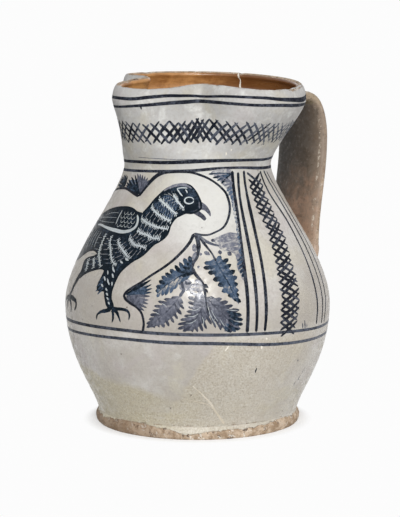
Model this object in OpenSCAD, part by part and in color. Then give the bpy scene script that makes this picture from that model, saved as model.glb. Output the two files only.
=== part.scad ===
// Pouring jug with a trefoil mouth: a turned foot, a thrown belly, a pinched neck collar and
// a strap handle luted on, with a white glaze coat outside and a brown glaze lining inside.
// Frame: +Z up, origin in the middle of the flat underside, handle towards +X, spout towards -X.

/* [Foot] */
// Widest diameter of the foot
foot_d = 145.5; // [143.5:0.5:154]
// Diameter of the flat face that the jug stands on
rest_d = 143; // [110:0.5:145]
// Height of the foot, up to the groove above it
foot_h = 9; // [6:0.5:14]
// Height at which the foot is widest
foot_edge_z = 4; // [2:0.5:5]

/* [Belly] */
// Diameter in the groove between foot and belly
groove_d = 142; // [125:0.5:145]
// Diameter at the widest girth
girth_d = 188; // [165:1:215]
// Height of the widest girth
girth_z = 84; // [70:1:100]

/* [Neck and mouth] */
// Diameter at the waist, where the neck is narrowest
waist_d = 103; // [90:0.2:112]
// Height of the waist
waist_z = 182; // [172:1:194]
// Widest diameter of the collar, under the lip
collar_d = 152; // [138:0.2:166]
// Height at which the collar is widest
collar_z = 229; // [220:1:234]
// Height of the lip's outer edge, before it leans
rim_h = 238.5; // [236:0.5:250]
// How far the lip turns in from the widest diameter
lip_turn = 2.8; // [1:0.1:5]
// How much higher the lip stands on its high side, and lower on the other
rim_lean = 7; // [0:0.5:9]
// Direction of the lip's high side, turned from the handle towards +Y
lean_angle = 60; // [0:5:180]
// Angle of each pinch from the spout
pinch_angle = 54; // [46:1:64]
// Depth of each pinch at the lip
pinch_depth = 32; // [16:1:34]
// How much the lip rises over the pinch on the side of -Y, and over the one on the side of +Y
near_pinch_rise = 6.5; // [0:0.5:8]
far_pinch_rise = 0; // [0:0.5:8]
// How far the spout's tip is drawn in from the widest diameter
spout_draw = 8.5; // [0:0.5:12]

/* [Walls and glazes] */
// Thickness of the belly's wall
belly_t = 6; // [4:0.5:9]
// Thickness of the wall at the lip
lip_t = 3.8; // [3:0.1:6]
// Thickness of the white glaze coat outside
glaze_t = 0.5; // [0.3:0.1:1]
// Thickness of the brown glaze lining inside
lining_t = 0.5; // [0.3:0.1:1]

/* [Handle] */
// Width of the strap
strap_w = 49; // [38:1:58]
// Thickness of the strap
strap_t = 8; // [5:0.5:11]
// How far the strap's outer face stands out from the widest part of the collar
handle_out = 27; // [20:0.2:40]
// How far below the lip's edge the middle of the strap's upper end lies
handle_drop = 10; // [9:0.5:22]
// How far below its upper end the strap stands out furthest
bend_drop = 28; // [22:1:40]
// Height of the strap's lower end, where its lute begins
handle_low_z = 120; // [110:1:132]
// Gap between the strap's lower end and the belly behind it
handle_low_gap = 4.8; // [3:0.2:9]
// Length of the lute between the collar and the strap's upper end
upper_lute_len = 7; // [4:0.5:10]
// Length of the pressed tongue that runs down the belly from the strap's lower end
lower_lute_len = 28; // [18:1:36]
// Thickness of that tongue at its tip
lute_tip_t = 1.2; // [0.8:0.1:2.5]

/* [Hidden] */
$fn = 96;

foot_r = foot_d / 2;
rest_r = rest_d / 2;
groove_r = groove_d / 2;
girth_r = girth_d / 2;
waist_r = waist_d / 2;
collar_r = collar_d / 2;

// Gap between a lute and the curved face that it is pressed on
seat = 0.1;

// Shape of the profile's curves: each share is how far a curve holds its end direction, as a
// part of the height it spans, or of its width where the direction leans
foot_lean_share = 0.17;
foot_rise_share = 0.2;
girth_low_share = 0.5;
girth_high_share = 0.33;
waist_low_share = 0.18;
waist_high_share = 0.21;
collar_low_share = 0.2;
lip_hold_share = 0.4;
// Place on the shoulder's curve where the belly ends and the collar is joined on
seam_share = 0.85;

// Angular width of a pinch on the spout's side and on the side lobe's side, and of the spout
pinch_spread_in = 28;
pinch_spread_out = 17;
spout_spread = 45;
// Angular width of the lip's rise over a pinch
rise_spread = 28;
// Parts of the height from the seam to the collar's widest where a pinch starts and is full
pinch_start_share = 0.19;
pinch_full_share = 0.98;

// Counts of steps along the curves and round the collar
foot_steps = 6;
low_steps = 10;
shoulder_steps = 12;
waist_steps = 3;
collar_steps = 8;
lip_steps = 3;
lip_round_steps = 4;
round_steps = 60;
strap_steps = 9;
lute_steps = 7;
section_steps = 20;
// Roundness of the strap's section: 2 is an ellipse, more is flatter
strap_squareness = 3.2;

// Curve through p[0] and p[3], drawn towards p[1] and p[2]
function bezier(p, t) =
    pow(1 - t, 3) * p[0] + 3 * pow(1 - t, 2) * t * p[1]
    + 3 * (1 - t) * t * t * p[2] + pow(t, 3) * p[3];
// Points of a curve from share a to share b, without the last
function run(p, a, b, steps) = [for (k = [0 : steps - 1]) bezier(p, a + (b - a) * k / steps)];
function ease(t) = let (c = min(max(t, 0), 1)) c * c * (3 - 2 * c);
function mix(a, b, t) = a + (b - a) * t;
function unit(v) = v / norm(v);
function bell(t) = exp(-t * t);

// Profile of the outside, as [radius, height], from the groove to the lip's edge
low_h = girth_z - foot_h;
shoulder_h = waist_z - girth_z;
collar_h = collar_z - waist_z;
lip_h = rim_h - collar_z;
low_curve = [[groove_r, foot_h],
    [groove_r + foot_lean_share * (girth_r - groove_r), foot_h + foot_rise_share * low_h],
    [girth_r, girth_z - girth_low_share * low_h], [girth_r, girth_z]];
shoulder_curve = [[girth_r, girth_z], [girth_r, girth_z + girth_high_share * shoulder_h],
    [waist_r, waist_z - waist_low_share * shoulder_h], [waist_r, waist_z]];
collar_curve = [[waist_r, waist_z], [waist_r, waist_z + waist_high_share * collar_h],
    [collar_r, collar_z - collar_low_share * collar_h], [collar_r, collar_z]];
lip_curve = [[collar_r, collar_z], [collar_r, collar_z + lip_hold_share * lip_h],
    [collar_r - lip_turn * lip_hold_share, rim_h - lip_hold_share * lip_h / 2],
    [collar_r - lip_turn, rim_h]];
outside = concat(
    run(low_curve, 0, 1, low_steps),
    run(shoulder_curve, 0, seam_share, shoulder_steps),
    run(shoulder_curve, seam_share, 1, waist_steps),
    run(collar_curve, 0, 1, collar_steps),
    run(lip_curve, 0, 1, lip_steps),
    [[collar_r - lip_turn, rim_h]]);
seam_i = low_steps + shoulder_steps;
lip_i = len(outside) - 1;
seam_z = outside[seam_i][1];

// Outward direction of the profile at a point
function outward(i) =
    let (step = outside[min(i + 1, lip_i)] - outside[max(i - 1, 0)])
    unit([step[1], -step[0]]);
// Point of the profile moved inwards, along the flat seams at the two ends of the belly
function inset(i, depth) =
    i == 0 || i == seam_i
        ? outside[i] - [depth / outward(i)[0], 0]
        : outside[i] - depth * outward(i);
// Radius of the outside at a height
heights = [for (p = outside) [p[1], p[0]]];
function radius_at(z) = lookup(z, heights);

// Depths of the clay's two faces under the outside, thinning from the seam to the lip
clay_out = glaze_t;
function wall_t(i) = mix(belly_t, lip_t, max(i - seam_i, 0) / (lip_i - seam_i));
function clay_in(i) = glaze_t + wall_t(i);
function lining_in(i) = clay_in(i) + lining_t;

// Angle from the spout, 0 to 180
function from_spout(th) = let (turn = abs(th) % 360) abs(180 - turn);
function pinch_at(th) =
    let (side = from_spout(th) - pinch_angle)
    bell(side / (side < 0 ? pinch_spread_in : pinch_spread_out));
// How far the lip is drawn in from the round, and how much of that is left at a height
function drawn_in(th) =
    pinch_depth * pinch_at(th) + spout_draw * bell(from_spout(th) / spout_spread);
function drawn_share(z) =
    let (share = (z - seam_z) / (collar_z - seam_z))
    ease((share - pinch_start_share) / (pinch_full_share - pinch_start_share));
function lift_share(z) = ease((z - seam_z) / (rim_h - seam_z));
function pinch_rise(th) =
    bell((from_spout(th) - pinch_angle) / rise_spread)
        * mix(far_pinch_rise, near_pinch_rise, (1 - sin(th)) / 2);
function lift(th, z) = lift_share(z) * (rim_lean * cos(th - lean_angle) + pinch_rise(th));

// Collar's outside, and the same moved in by a depth along its own normal
function skin(th, p) =
    let (r = p[0] - drawn_share(p[1]) * drawn_in(th))
    [r * cos(th), r * sin(th), p[1] + lift(th, p[1])];
function up_step(th, i) = skin(th, outside[min(i + 1, lip_i)]) - skin(th, outside[i - 1]);
function skin_normal(th, i) =
    let (round_step = skin(th + 1, outside[i]) - skin(th - 1, outside[i]))
    unit(cross(round_step, up_step(th, i)));
function skin_in(th, i, depth) =
    i == seam_i
        ? let (p = inset(i, depth)) [p[0] * cos(th), p[0] * sin(th), p[1]]
        : skin(th, outside[i]) - depth * skin_normal(th, i);
// Rounded edge of the lip, from the clay's outer face to its inner face
function lip_round(th) =
    let (
        a = skin_in(th, lip_i, clay_out),
        b = skin_in(th, lip_i, clay_in(lip_i)),
        middle = (a + b) / 2,
        along = unit(up_step(th, lip_i)))
    [for (k = [1 : lip_round_steps - 1])
        let (turn = 180 * k / lip_round_steps)
        middle + cos(turn) * (a - b) / 2 + sin(turn) * along * lip_t / 2];

// Two triangles between a section that starts at point a and the next, which starts at point b.
// A coat is cut along the other diagonal, so that its inner face is the same as the face it covers.
function patch(a, b, k, m, coat) =
    let (next = (k + 1) % m)
    coat ? [[a + k, a + next, b + k], [a + next, b + next, b + k]]
        : [[a + k, b + next, b + k], [a + k, a + next, b + next]];

// Closed solid from a ring of closed sections, each joined to the next and the last to the first
module ring_solid(sections, coat = false) {
    n = len(sections);
    m = len(sections[0]);
    points = [for (s = sections) each s];
    faces = [for (j = [0 : n - 1], k = [0 : m - 1]) each patch(j * m, ((j + 1) % n) * m, k, m, coat)];
    polyhedron(points, faces);
}

// Closed solid from a run of closed sections, with a flat face at each end
module run_solid(sections) {
    n = len(sections);
    m = len(sections[0]);
    points = [for (s = sections) each s];
    sides = [for (j = [0 : n - 2], k = [0 : m - 1]) each patch(j * m, (j + 1) * m, k, m, false)];
    first = [for (k = [m - 1 : -1 : 0]) k];
    last = [for (k = [0 : m - 1]) (n - 1) * m + k];
    polyhedron(points, concat([first], sides, [last]));
}

// Layer of the belly between two depths
module belly_layer(out_depth, in_depth) {
    rotate_extrude()
        polygon(concat(
            [for (i = [0 : seam_i]) inset(i, out_depth)],
            [for (i = [seam_i : -1 : 0]) inset(i, in_depth)]));
}

round_angles = [for (k = [0 : round_steps - 1]) 360 * k / round_steps];

// Strap: its section, its path from the collar to the belly, and the frame along the path
function signed_pow(v, e) = sign(v) * pow(abs(v), e);
section = [for (k = [0 : section_steps - 1])
    let (turn = 360 * (k + 0.5) / section_steps, e = 2 / strap_squareness)
    [signed_pow(cos(turn), e), signed_pow(sin(turn), e)]];
strap_top_z = rim_h - handle_drop;
strap_start = [radius_at(strap_top_z) + upper_lute_len, 0, strap_top_z];
strap_bend = [collar_r + handle_out - strap_t / 2, 0, strap_top_z - bend_drop];
strap_end = [radius_at(handle_low_z) + handle_low_gap + strap_t / 2, 0, handle_low_z];
// Shares of each span over which the strap holds its direction
start_share = 0.7;
bend_high_share = 0.48;
bend_low_share = 0.33;
strap_curves = [
    [strap_start, strap_start + [start_share * (strap_bend[0] - strap_start[0]), 0, 0],
        strap_bend + [0, 0, bend_high_share * bend_drop], strap_bend],
    [strap_bend, strap_bend - [0, 0, bend_low_share * (strap_bend[2] - strap_end[2])],
        strap_end + [0, 0, bend_low_share * (strap_bend[2] - strap_end[2])], strap_end]];
strap_path = concat(
    run(strap_curves[0], 0, 1, strap_steps), run(strap_curves[1], 0, 1, strap_steps), [strap_end]);
function strap_along(i) =
    i == 0 ? [1, 0, 0]
    : i == len(strap_path) - 1 ? [0, 0, -1]
    : unit(strap_path[i + 1] - strap_path[i - 1]);
function strap_section(i, extra) =
    let (along = strap_along(i), face = [-along[2], 0, along[0]])
    [for (s = section)
        strap_path[i] + [0, s[0] * (strap_w / 2 + extra), 0] + face * s[1] * (strap_t / 2 + extra)];
strap_range = [0 : len(strap_path) - 1];

// Upper lute: flares from the strap's end to its print on the collar, whose face is found at
// the level that the lip's lean lifts to each point
lute_flare_w = 0.14;
lute_flare_t = 0.9;
function level_under(th, z) = z - lift(th, z - lift(th, z));
function collar_face(y, z) =
    let (
        th = atan2(y, collar_r),
        r = radius_at(level_under(th, z)))
    sqrt(r * r - y * y) + seat;
function upper_lute_section(s, shrink) =
    let (flare = pow(1 - s, 2))
    [for (p = section)
        let (
            y = shrink * p[0] * strap_w / 2 * (1 + lute_flare_w * flare),
            z = strap_top_z + shrink * p[1] * strap_t / 2 * (1 + lute_flare_t * flare))
        [mix(collar_face(y, z), strap_start[0], s), y, z]];
// Rings of the print's face on the collar, from a small one at its middle
print_middle = 0.02;
print_rings = 6;

// Lower lute: leaves the strap's end and thins to a tongue pressed on the belly
tongue_spread = 0.12;
tongue_narrowing = 0.45;
// How fast the tongue closes on the belly: at 1 it only touches at its tip
press_rate = 1.4;
function belly_face(y, z) = let (r = radius_at(z)) sqrt(r * r - y * y) + seat;
function lower_lute_section(s) =
    let (
        z = handle_low_z - s * lower_lute_len,
        width = 1 + tongue_spread * sin(180 * s) - tongue_narrowing * pow(s, 3),
        press = ease(press_rate * s))
    [for (p = section)
        let (
            y = p[0] * width * strap_w / 2,
            free = strap_end[0] + p[1] * strap_t / 2,
            thick = mix(strap_t, lute_tip_t, s),
            pressed = belly_face(y, z) + thick * (p[1] + 1) / 2)
        [max(mix(free, pressed, press), belly_face(y, z)), y, z]];

module foot_disc() {
    color("tan")
        rotate_extrude()
            polygon(concat(
                [[0, 0]],
                [for (k = [0 : foot_steps])
                    let (turn = 90 * k / foot_steps)
                    [rest_r + (foot_r - rest_r) * sin(turn), foot_edge_z * (1 - cos(turn))]],
                [for (k = [1 : foot_steps])
                    let (turn = 90 * k / foot_steps)
                    [groove_r + (foot_r - groove_r) * cos(turn),
                        foot_edge_z + (foot_h - foot_edge_z) * sin(turn)]],
                [[0, foot_h]]));
}

module belly_wall() {
    color("rosybrown") belly_layer(clay_out, clay_in(0));
}

module belly_tin_glaze() {
    color("gainsboro") belly_layer(0, clay_out);
}

// Lining of the belly, with the skin of glaze over the floor
module belly_lead_glaze() {
    color("saddlebrown")
        rotate_extrude()
            polygon(concat(
                [[0, foot_h]],
                [for (i = [0 : seam_i]) inset(i, clay_in(i))],
                [for (i = [seam_i : -1 : 1]) inset(i, lining_in(i))],
                [[inset(0, lining_in(0))[0], foot_h + lining_t], [0, foot_h + lining_t]]));
}

module neck_collar() {
    color("rosybrown")
        ring_solid([for (th = round_angles) concat(
            [for (i = [seam_i : lip_i]) skin_in(th, i, clay_out)],
            lip_round(th),
            [for (i = [lip_i : -1 : seam_i]) skin_in(th, i, clay_in(i))])]);
}

module collar_tin_glaze() {
    color("gainsboro")
        ring_solid([for (th = round_angles) concat(
            [for (i = [seam_i : lip_i]) skin_in(th, i, 0)],
            [for (i = [lip_i : -1 : seam_i]) skin_in(th, i, clay_out)])], coat = true);
}

module collar_lead_glaze() {
    color("saddlebrown")
        ring_solid([for (th = round_angles) concat(
            [for (i = [seam_i : lip_i]) skin_in(th, i, clay_in(i))],
            [for (i = [lip_i : -1 : seam_i]) skin_in(th, i, lining_in(i))])], coat = true);
}

module handle_strap() {
    color("dimgray") run_solid([for (i = strap_range) strap_section(i, 0)]);
}

module handle_glaze() {
    color("darkgray")
        ring_solid(concat(
            [for (i = strap_range) strap_section(i, glaze_t)],
            [for (i = [len(strap_path) - 1 : -1 : 0]) strap_section(i, 0)]), coat = true);
}

module handle_upper_lute() {
    color("sienna")
        run_solid(concat(
            [for (k = [0 : print_rings - 1]) upper_lute_section(0, max(k / print_rings, print_middle))],
            [for (k = [0 : lute_steps]) upper_lute_section(k / lute_steps, 1)]));
}

module handle_lower_lute() {
    color("sienna") run_solid([for (k = [0 : lute_steps]) lower_lute_section(k / lute_steps)]);
}

foot_disc();
belly_wall();
neck_collar();
handle_strap();
handle_upper_lute();
handle_lower_lute();
belly_tin_glaze();
collar_tin_glaze();
handle_glaze();
belly_lead_glaze();
collar_lead_glaze();
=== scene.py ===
"""Looks of the trefoil-mouthed jug: glazes, clay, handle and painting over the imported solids.

The jug's outside is one surface, found from an angle and a level. The angle is in degrees from the
spout, positive towards the side that the camera sees, and the level is a height in mm before the
lip leans. Every piece is made on that surface, so clay, glaze and painting keep together.
"""

import logging
import math
from dataclasses import dataclass
from enum import Enum
from functools import cached_property
from typing import Callable, Iterable, Sequence

import bpy
import numpy as np
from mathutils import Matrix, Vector
from mathutils.geometry import delaunay_2d_cdt


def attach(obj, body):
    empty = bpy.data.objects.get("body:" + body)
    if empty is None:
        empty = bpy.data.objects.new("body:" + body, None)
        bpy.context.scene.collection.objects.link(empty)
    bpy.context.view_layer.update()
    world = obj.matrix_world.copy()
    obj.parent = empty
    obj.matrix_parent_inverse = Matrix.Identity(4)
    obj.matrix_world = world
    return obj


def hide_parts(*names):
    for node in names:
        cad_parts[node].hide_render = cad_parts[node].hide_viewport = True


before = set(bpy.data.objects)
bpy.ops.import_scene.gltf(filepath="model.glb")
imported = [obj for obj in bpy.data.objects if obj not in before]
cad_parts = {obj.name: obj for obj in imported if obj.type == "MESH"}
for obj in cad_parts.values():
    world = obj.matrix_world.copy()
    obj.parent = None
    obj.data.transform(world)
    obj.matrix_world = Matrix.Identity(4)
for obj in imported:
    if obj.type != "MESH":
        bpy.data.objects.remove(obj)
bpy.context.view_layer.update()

log = logging.getLogger("jug")

Array = np.ndarray
Face = tuple[int, ...]
Point = tuple[float, float]
Zone = tuple[float, float]
Triple = tuple[float, float, float]
Humps = Sequence[Triple]
Colour = tuple[float, float, float, float]
Floats = Sequence[float]
Line = Sequence[Point]
Lines = Sequence[Line]
Drawn = Sequence[tuple[Line, Floats, float]]
Fan = tuple[Point, Line, float]
Surface = Callable[[Array, Array], tuple[Array, Array]]
Material = bpy.types.Material
Socket = bpy.types.NodeSocket
Tree = bpy.types.NodeTree

MM = 0.001
# About how many mm of the belly's surface a degree takes, and the same for an angle with a level
DEGREE_MM = 1.4
PLACE_MM = np.array([DEGREE_MM, 1.0])


class Slot(Enum):
    """Material slots of the record."""

    CLAY = "bare_clay"
    TIN = "tin_glaze"
    HANDLE = "handle_glaze"
    LEAD = "lead_glaze"


def srgb(red: float, green: float, blue: float) -> Colour:
    """Turns a colour as seen on a screen into the linear one that a shader takes.

    Args:
        red, green, blue: parts of the colour, 0 to 255.

    Returns:
        The linear colour with full alpha.
    """
    parts = [value / 255 for value in (red, green, blue)]
    linear = [p / 12.92 if p < 0.04045 else ((p + 0.055) / 1.055) ** 2.4 for p in parts]
    return (linear[0], linear[1], linear[2], 1.0)


def ease(value: Array | float) -> Array | float:
    """Smooth step from 0 to 1."""
    clipped = np.clip(value, 0, 1)
    return clipped * clipped * (3 - 2 * clipped)


def bell(value: Array | float) -> Array | float:
    """Rounded hump of height 1 at 0."""
    return np.exp(-value * value)


def unit(vectors: Array) -> Array:
    """Vectors of length 1 along the last axis."""
    return vectors / np.linalg.norm(vectors, axis=-1, keepdims=True)


def bezier(ends: Line, shares: Array) -> Array:
    """Points of a cubic curve, from its four steering points, at the given shares of its run."""
    p = np.array(ends, float)
    t = shares[:, None]
    return (1 - t) ** 3 * p[0] + 3 * (1 - t) ** 2 * t * p[1] + 3 * (1 - t) * t**2 * p[2] + t**3 * p[3]


def wrapped(angle: Array | float) -> Array | float:
    """The same angle, from -180 to 180 degrees."""
    return (angle + 180) % 360 - 180


def bumps(angle: Array | float, humps: Humps) -> Array | float:
    """Sum of rounded humps round the jug, each with its angle, its width and its size."""
    return sum(size * bell(wrapped(angle - at) / wide) for at, wide, size in humps)


# Shape of the jug


@dataclass(frozen=True)
class JugForm:
    """Measures of the jug in mm and degrees, and the surfaces that they give."""

    groove_r: float = 71.0
    foot_h: float = 9.0
    girth_r: float = 94.0
    girth_z: float = 84.0
    waist_r: float = 51.5
    waist_z: float = 182.0
    collar_r: float = 76.0
    collar_z: float = 229.0
    rim_h: float = 238.5
    lip_turn: float = 2.8
    rim_lean: float = 7.0
    lean_angle: float = 60.0
    pinch_angle: float = 54.0
    pinch_depth: float = 32.0
    near_pinch_rise: float = 6.5
    far_pinch_rise: float = 0.0
    pinch_spread_in: float = 28.0
    pinch_spread_out: float = 17.0
    spout_draw: float = 8.5
    spout_spread: float = 45.0
    rise_spread: float = 28.0
    belly_t: float = 6.0
    lip_t: float = 3.8
    glaze_t: float = 0.5
    lining_t: float = 0.5
    foot_lean_share: float = 0.17
    foot_rise_share: float = 0.2
    girth_low_share: float = 0.5
    girth_high_share: float = 0.33
    waist_low_share: float = 0.18
    waist_high_share: float = 0.21
    collar_low_share: float = 0.2
    lip_hold_share: float = 0.4
    seam_share: float = 0.85
    pinch_start_share: float = 0.19
    pinch_full_share: float = 0.98
    curve_steps: int = 160
    feel: float = 0.4
    lip_feel: float = 1.5
    swell_size: float = 0.16
    swell_run: float = 31.0
    wave_size: float = 0.1
    wave_run: float = 17.0
    ring_size: float = 0.045
    ring_run: float = 1.15
    ring_patch: float = 23.0
    even_h: float = 12.0
    chips: Humps = (
        (112.0, 3.0, 1.2), (121.0, 2.0, 0.9), (98.0, 1.6, 0.5), (64.0, 2.2, 0.5),
        (18.0, 1.5, 0.4), (-31.0, 2.5, 0.8), (-96.0, 2.0, 0.6), (-155.0, 1.4, 0.7))

    @cached_property
    def curves(self) -> list[list[Point]]:
        """Four curves of the profile, as radius and level, from the groove to the lip's edge.

        Returns:
            Four points that steer each curve.
        """
        low = self.girth_z - self.foot_h
        shoulder = self.waist_z - self.girth_z
        collar = self.collar_z - self.waist_z
        lip = self.rim_h - self.collar_z
        lean = self.foot_lean_share * (self.girth_r - self.groove_r)
        turned_r = self.collar_r - self.lip_hold_share * self.lip_turn
        at_groove = (self.groove_r, self.foot_h)
        at_girth = (self.girth_r, self.girth_z)
        at_waist = (self.waist_r, self.waist_z)
        at_collar = (self.collar_r, self.collar_z)
        at_rim = (self.collar_r - self.lip_turn, self.rim_h)
        return [
            [at_groove, (self.groove_r + lean, self.foot_h + self.foot_rise_share * low),
             (self.girth_r, self.girth_z - self.girth_low_share * low), at_girth],
            [at_girth, (self.girth_r, self.girth_z + self.girth_high_share * shoulder),
             (self.waist_r, self.waist_z - self.waist_low_share * shoulder), at_waist],
            [at_waist, (self.waist_r, self.waist_z + self.waist_high_share * collar),
             (self.collar_r, self.collar_z - self.collar_low_share * collar), at_collar],
            [at_collar, (self.collar_r, self.collar_z + self.lip_hold_share * lip),
             (turned_r, self.rim_h - self.lip_hold_share * lip / 2), at_rim],
        ]

    @cached_property
    def profile(self) -> Array:
        """Fine points of the profile, as radius and level."""
        return np.vstack([bezier(curve, np.linspace(0, 1, self.curve_steps)) for curve in self.curves])

    @cached_property
    def seam_z(self) -> float:
        """Level where the collar is joined to the belly."""
        return float(bezier(self.curves[1], np.array([self.seam_share]))[0, 1])

    def radius(self, level: Array | float) -> Array | float:
        """Radius of the round outside at a level."""
        return np.interp(level, self.profile[:, 1], self.profile[:, 0])

    def past_pinch(self, angle: Array) -> Array:
        """Degrees past the nearer pinch, below 0 towards the spout."""
        return np.abs(wrapped(angle)) - self.pinch_angle

    def pinch(self, angle: Array) -> Array:
        """How much of a pinch lies at an angle, 0 to 1."""
        side = self.past_pinch(angle)
        return bell(side / np.where(side < 0, self.pinch_spread_in, self.pinch_spread_out))

    def lift(self, angle: Array, level: Array) -> Array:
        """How far the leaning lip raises a point.

        Args:
            angle: degrees from the spout.
            level: height in mm before the lip leans.

        Returns:
            Rise in mm.
        """
        lean = self.rim_lean * np.cos(np.radians(180 + angle - self.lean_angle))
        near = (1 + np.sin(np.radians(angle))) / 2
        height = self.far_pinch_rise + near * (self.near_pinch_rise - self.far_pinch_rise)
        share = ease((level - self.seam_z) / (self.rim_h - self.seam_z))
        return share * (lean + height * bell(self.past_pinch(angle) / self.rise_spread))

    def unevenness(self, angle: Array, level: Array) -> Array:
        """Small swellings left by the potter's hands and the turning of the wheel.

        Args:
            angle: degrees from the spout.
            level: height in mm before the lip leans.

        Returns:
            Swelling in mm.
        """
        turn = np.radians(angle)
        swells = self.swell_size * np.sin(2 * turn + 0.6) * np.sin(level / self.swell_run)
        waves = self.wave_size * np.sin(5 * turn + level / self.wave_run)
        tilted = level / self.ring_run + 0.9 * np.sin(turn)
        rings = self.ring_size * np.sin(tilted) * np.sin(level / self.ring_patch + 0.4)
        return (swells + waves + rings) * ease((level - self.foot_h) / self.even_h)

    def skin(self, angle: Array, level: Array) -> Array:
        """Points of the glazed outside.

        Args:
            angle: degrees from the spout.
            level: height in mm before the lip leans.

        Returns:
            Points in mm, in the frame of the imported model.
        """
        share = (level - self.seam_z) / (self.collar_z - self.seam_z)
        run = self.pinch_full_share - self.pinch_start_share
        pinching = ease((share - self.pinch_start_share) / run)
        spout = self.spout_draw * bell(wrapped(angle) / self.spout_spread)
        drawn_in = self.pinch_depth * self.pinch(angle) + spout
        radius = self.radius(level) - pinching * drawn_in + self.unevenness(angle, level)
        turn = np.radians(180 + angle)
        height = level + self.lift(angle, level)
        return np.stack([radius * np.cos(turn), radius * np.sin(turn), height], axis=-1)

    def normal(self, angle: Array, level: Array) -> Array:
        """Outward directions of the outside."""
        round_step = self.skin(angle + self.feel, level) - self.skin(angle - self.feel, level)
        high = np.minimum(level + self.feel, self.rim_h)
        low = np.maximum(level - self.feel, self.foot_h)
        return unit(np.cross(round_step, self.skin(angle, high) - self.skin(angle, low)))

    def outside(self, angle: Array, level: Array) -> tuple[Array, Array]:
        """Points and directions of the outside, for a brush."""
        return self.skin(angle, level), self.normal(angle, level)

    def inside(self, angle: Array, level: Array) -> tuple[Array, Array]:
        """Points and directions of the lining and, past its edge, of the lip, for a brush.

        Args:
            angle: degrees from the spout.
            level: height in mm, more than the rim's over the lip.

        Returns:
            Points in mm and directions of length 1.
        """
        edge = np.minimum(level, self.rim_h)
        turn = 180 - np.degrees((level - edge) / (self.lip_t / 2))
        rim = self.lip(angle, turn, np.full_like(angle, self.lining_t))
        core = self.lip(angle, turn, np.full_like(angle, -self.lip_t / 2))
        over = (level > self.rim_h)[..., None]
        wall = self.under(angle, edge, self.lining_depth(edge))
        return np.where(over, rim, wall), np.where(over, unit(rim - core), -self.normal(angle, edge))

    def under(self, angle: Array, level: Array, depth: Array | float) -> Array:
        """Points at a depth under the outside."""
        deep = np.broadcast_to(np.asarray(depth, float), np.shape(level))
        return self.skin(angle, level) - deep[..., None] * self.normal(angle, level)

    def clay_depth(self, level: Array) -> Array:
        """Depth of the clay's inner face, less towards the lip."""
        return self.glaze_t + np.interp(level, [self.seam_z, self.rim_h], [self.belly_t, self.lip_t])

    def lining_depth(self, level: Array) -> Array:
        """Depth of the lining's inner face."""
        return self.clay_depth(level) + self.lining_t

    def lip(self, angle: Array, turn: Array, extra: Array) -> Array:
        """Points of the rounded lip.

        Args:
            angle: degrees from the spout.
            turn: degrees over the lip, 0 on its outer side and 180 on its inner side.
            extra: thickness of glaze over the clay.

        Returns:
            Points in mm.
        """
        rim = np.full_like(angle, self.rim_h)
        outer = self.under(angle, rim, self.glaze_t)
        inner = self.under(angle, rim, self.glaze_t + self.lip_t)
        along = unit(self.skin(angle, rim) - self.skin(angle, rim - self.lip_feel))
        across = unit(outer - inner)
        size = (self.lip_t / 2 + extra)[..., None]
        swing = np.radians(turn)[..., None]
        points = (outer + inner) / 2 + size * (np.cos(swing) * across + np.sin(swing) * along)
        points[..., 2] -= bumps(angle, self.chips) * np.sin(np.radians(turn))
        return points


# Meshes


@dataclass
class Film:
    """Points, faces and a value for each point of a piece in the making."""

    points: Array
    faces: list[Face]
    values: Array

    @staticmethod
    def joined(films: Iterable["Film"]) -> "Film":
        """One film from several that don't share points.

        Args:
            films: the films, in order.

        Returns:
            The new film.
        """
        points: list[Array] = []
        values: list[Array] = []
        faces: list[Face] = []
        start = 0
        for film in films:
            points.append(film.points)
            values.append(film.values)
            faces.extend(tuple(index + start for index in face) for face in film.faces)
            start += len(film.points)
        return Film(np.vstack(points), faces, np.concatenate(values))


def ring_faces(rows: int, columns: int, closed_rows: bool) -> list[Face]:
    """Faces of a grid whose columns go round, and whose rows do so too if they are closed.

    Args:
        rows: number of rows.
        columns: number of points in each row.
        closed_rows: whether the last row meets the first.

    Returns:
        Point numbers of each face.
    """
    faces: list[Face] = []
    for row in range(rows if closed_rows else rows - 1):
        after = (row + 1) % rows
        for column in range(columns):
            beside = (column + 1) % columns
            faces.append((row * columns + column, row * columns + beside,
                          after * columns + beside, after * columns + column))
    return faces


def tube(rings: Array, values: Array) -> Film:
    """Closed film from a run of rings, with a flat face at each end.

    Args:
        rings: points of each ring.
        values: a value for each point.

    Returns:
        The closed film.
    """
    rows, columns = rings.shape[:2]
    faces = ring_faces(rows, columns, False)
    faces.append(tuple(range(columns - 1, -1, -1)))
    faces.append(tuple((rows - 1) * columns + k for k in range(columns)))
    return Film(rings.reshape(-1, 3), faces, values.reshape(-1))


class Bench:
    """Turns films into pieces of the object."""

    def place(self, name: str, film: Film, material: Material, slot: Slot,
              replaces: Sequence[str] = (), crease: float = 50.0) -> bpy.types.Object:
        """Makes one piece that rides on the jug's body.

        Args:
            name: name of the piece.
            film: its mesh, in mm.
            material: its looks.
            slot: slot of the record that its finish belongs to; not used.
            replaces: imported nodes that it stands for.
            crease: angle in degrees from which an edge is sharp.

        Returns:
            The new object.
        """
        mesh = bpy.data.meshes.new(name)
        mesh.from_pydata((film.points * MM).tolist(), [], film.faces)
        value = mesh.attributes.new("value", "FLOAT", "POINT")
        value.data.foreach_set("value", film.values.astype(np.float32))
        mesh.shade_smooth()
        mesh.set_sharp_from_angle(angle=math.radians(crease))
        mesh.materials.append(material)
        piece = bpy.data.objects.new(name, mesh)
        bpy.context.scene.collection.objects.link(piece)
        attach(piece, "root")
        if replaces:
            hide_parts(*replaces)
        log.info("%s: %d points, %d faces", name, len(mesh.vertices), len(mesh.polygons))
        return piece


# Brush


@dataclass(frozen=True)
class Stroke:
    """One brush stroke: places it runs through, its widths in mm and its loads of colour."""

    places: Line
    widths: Floats = (1.3,)
    loads: Floats = (0.95,)


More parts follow.
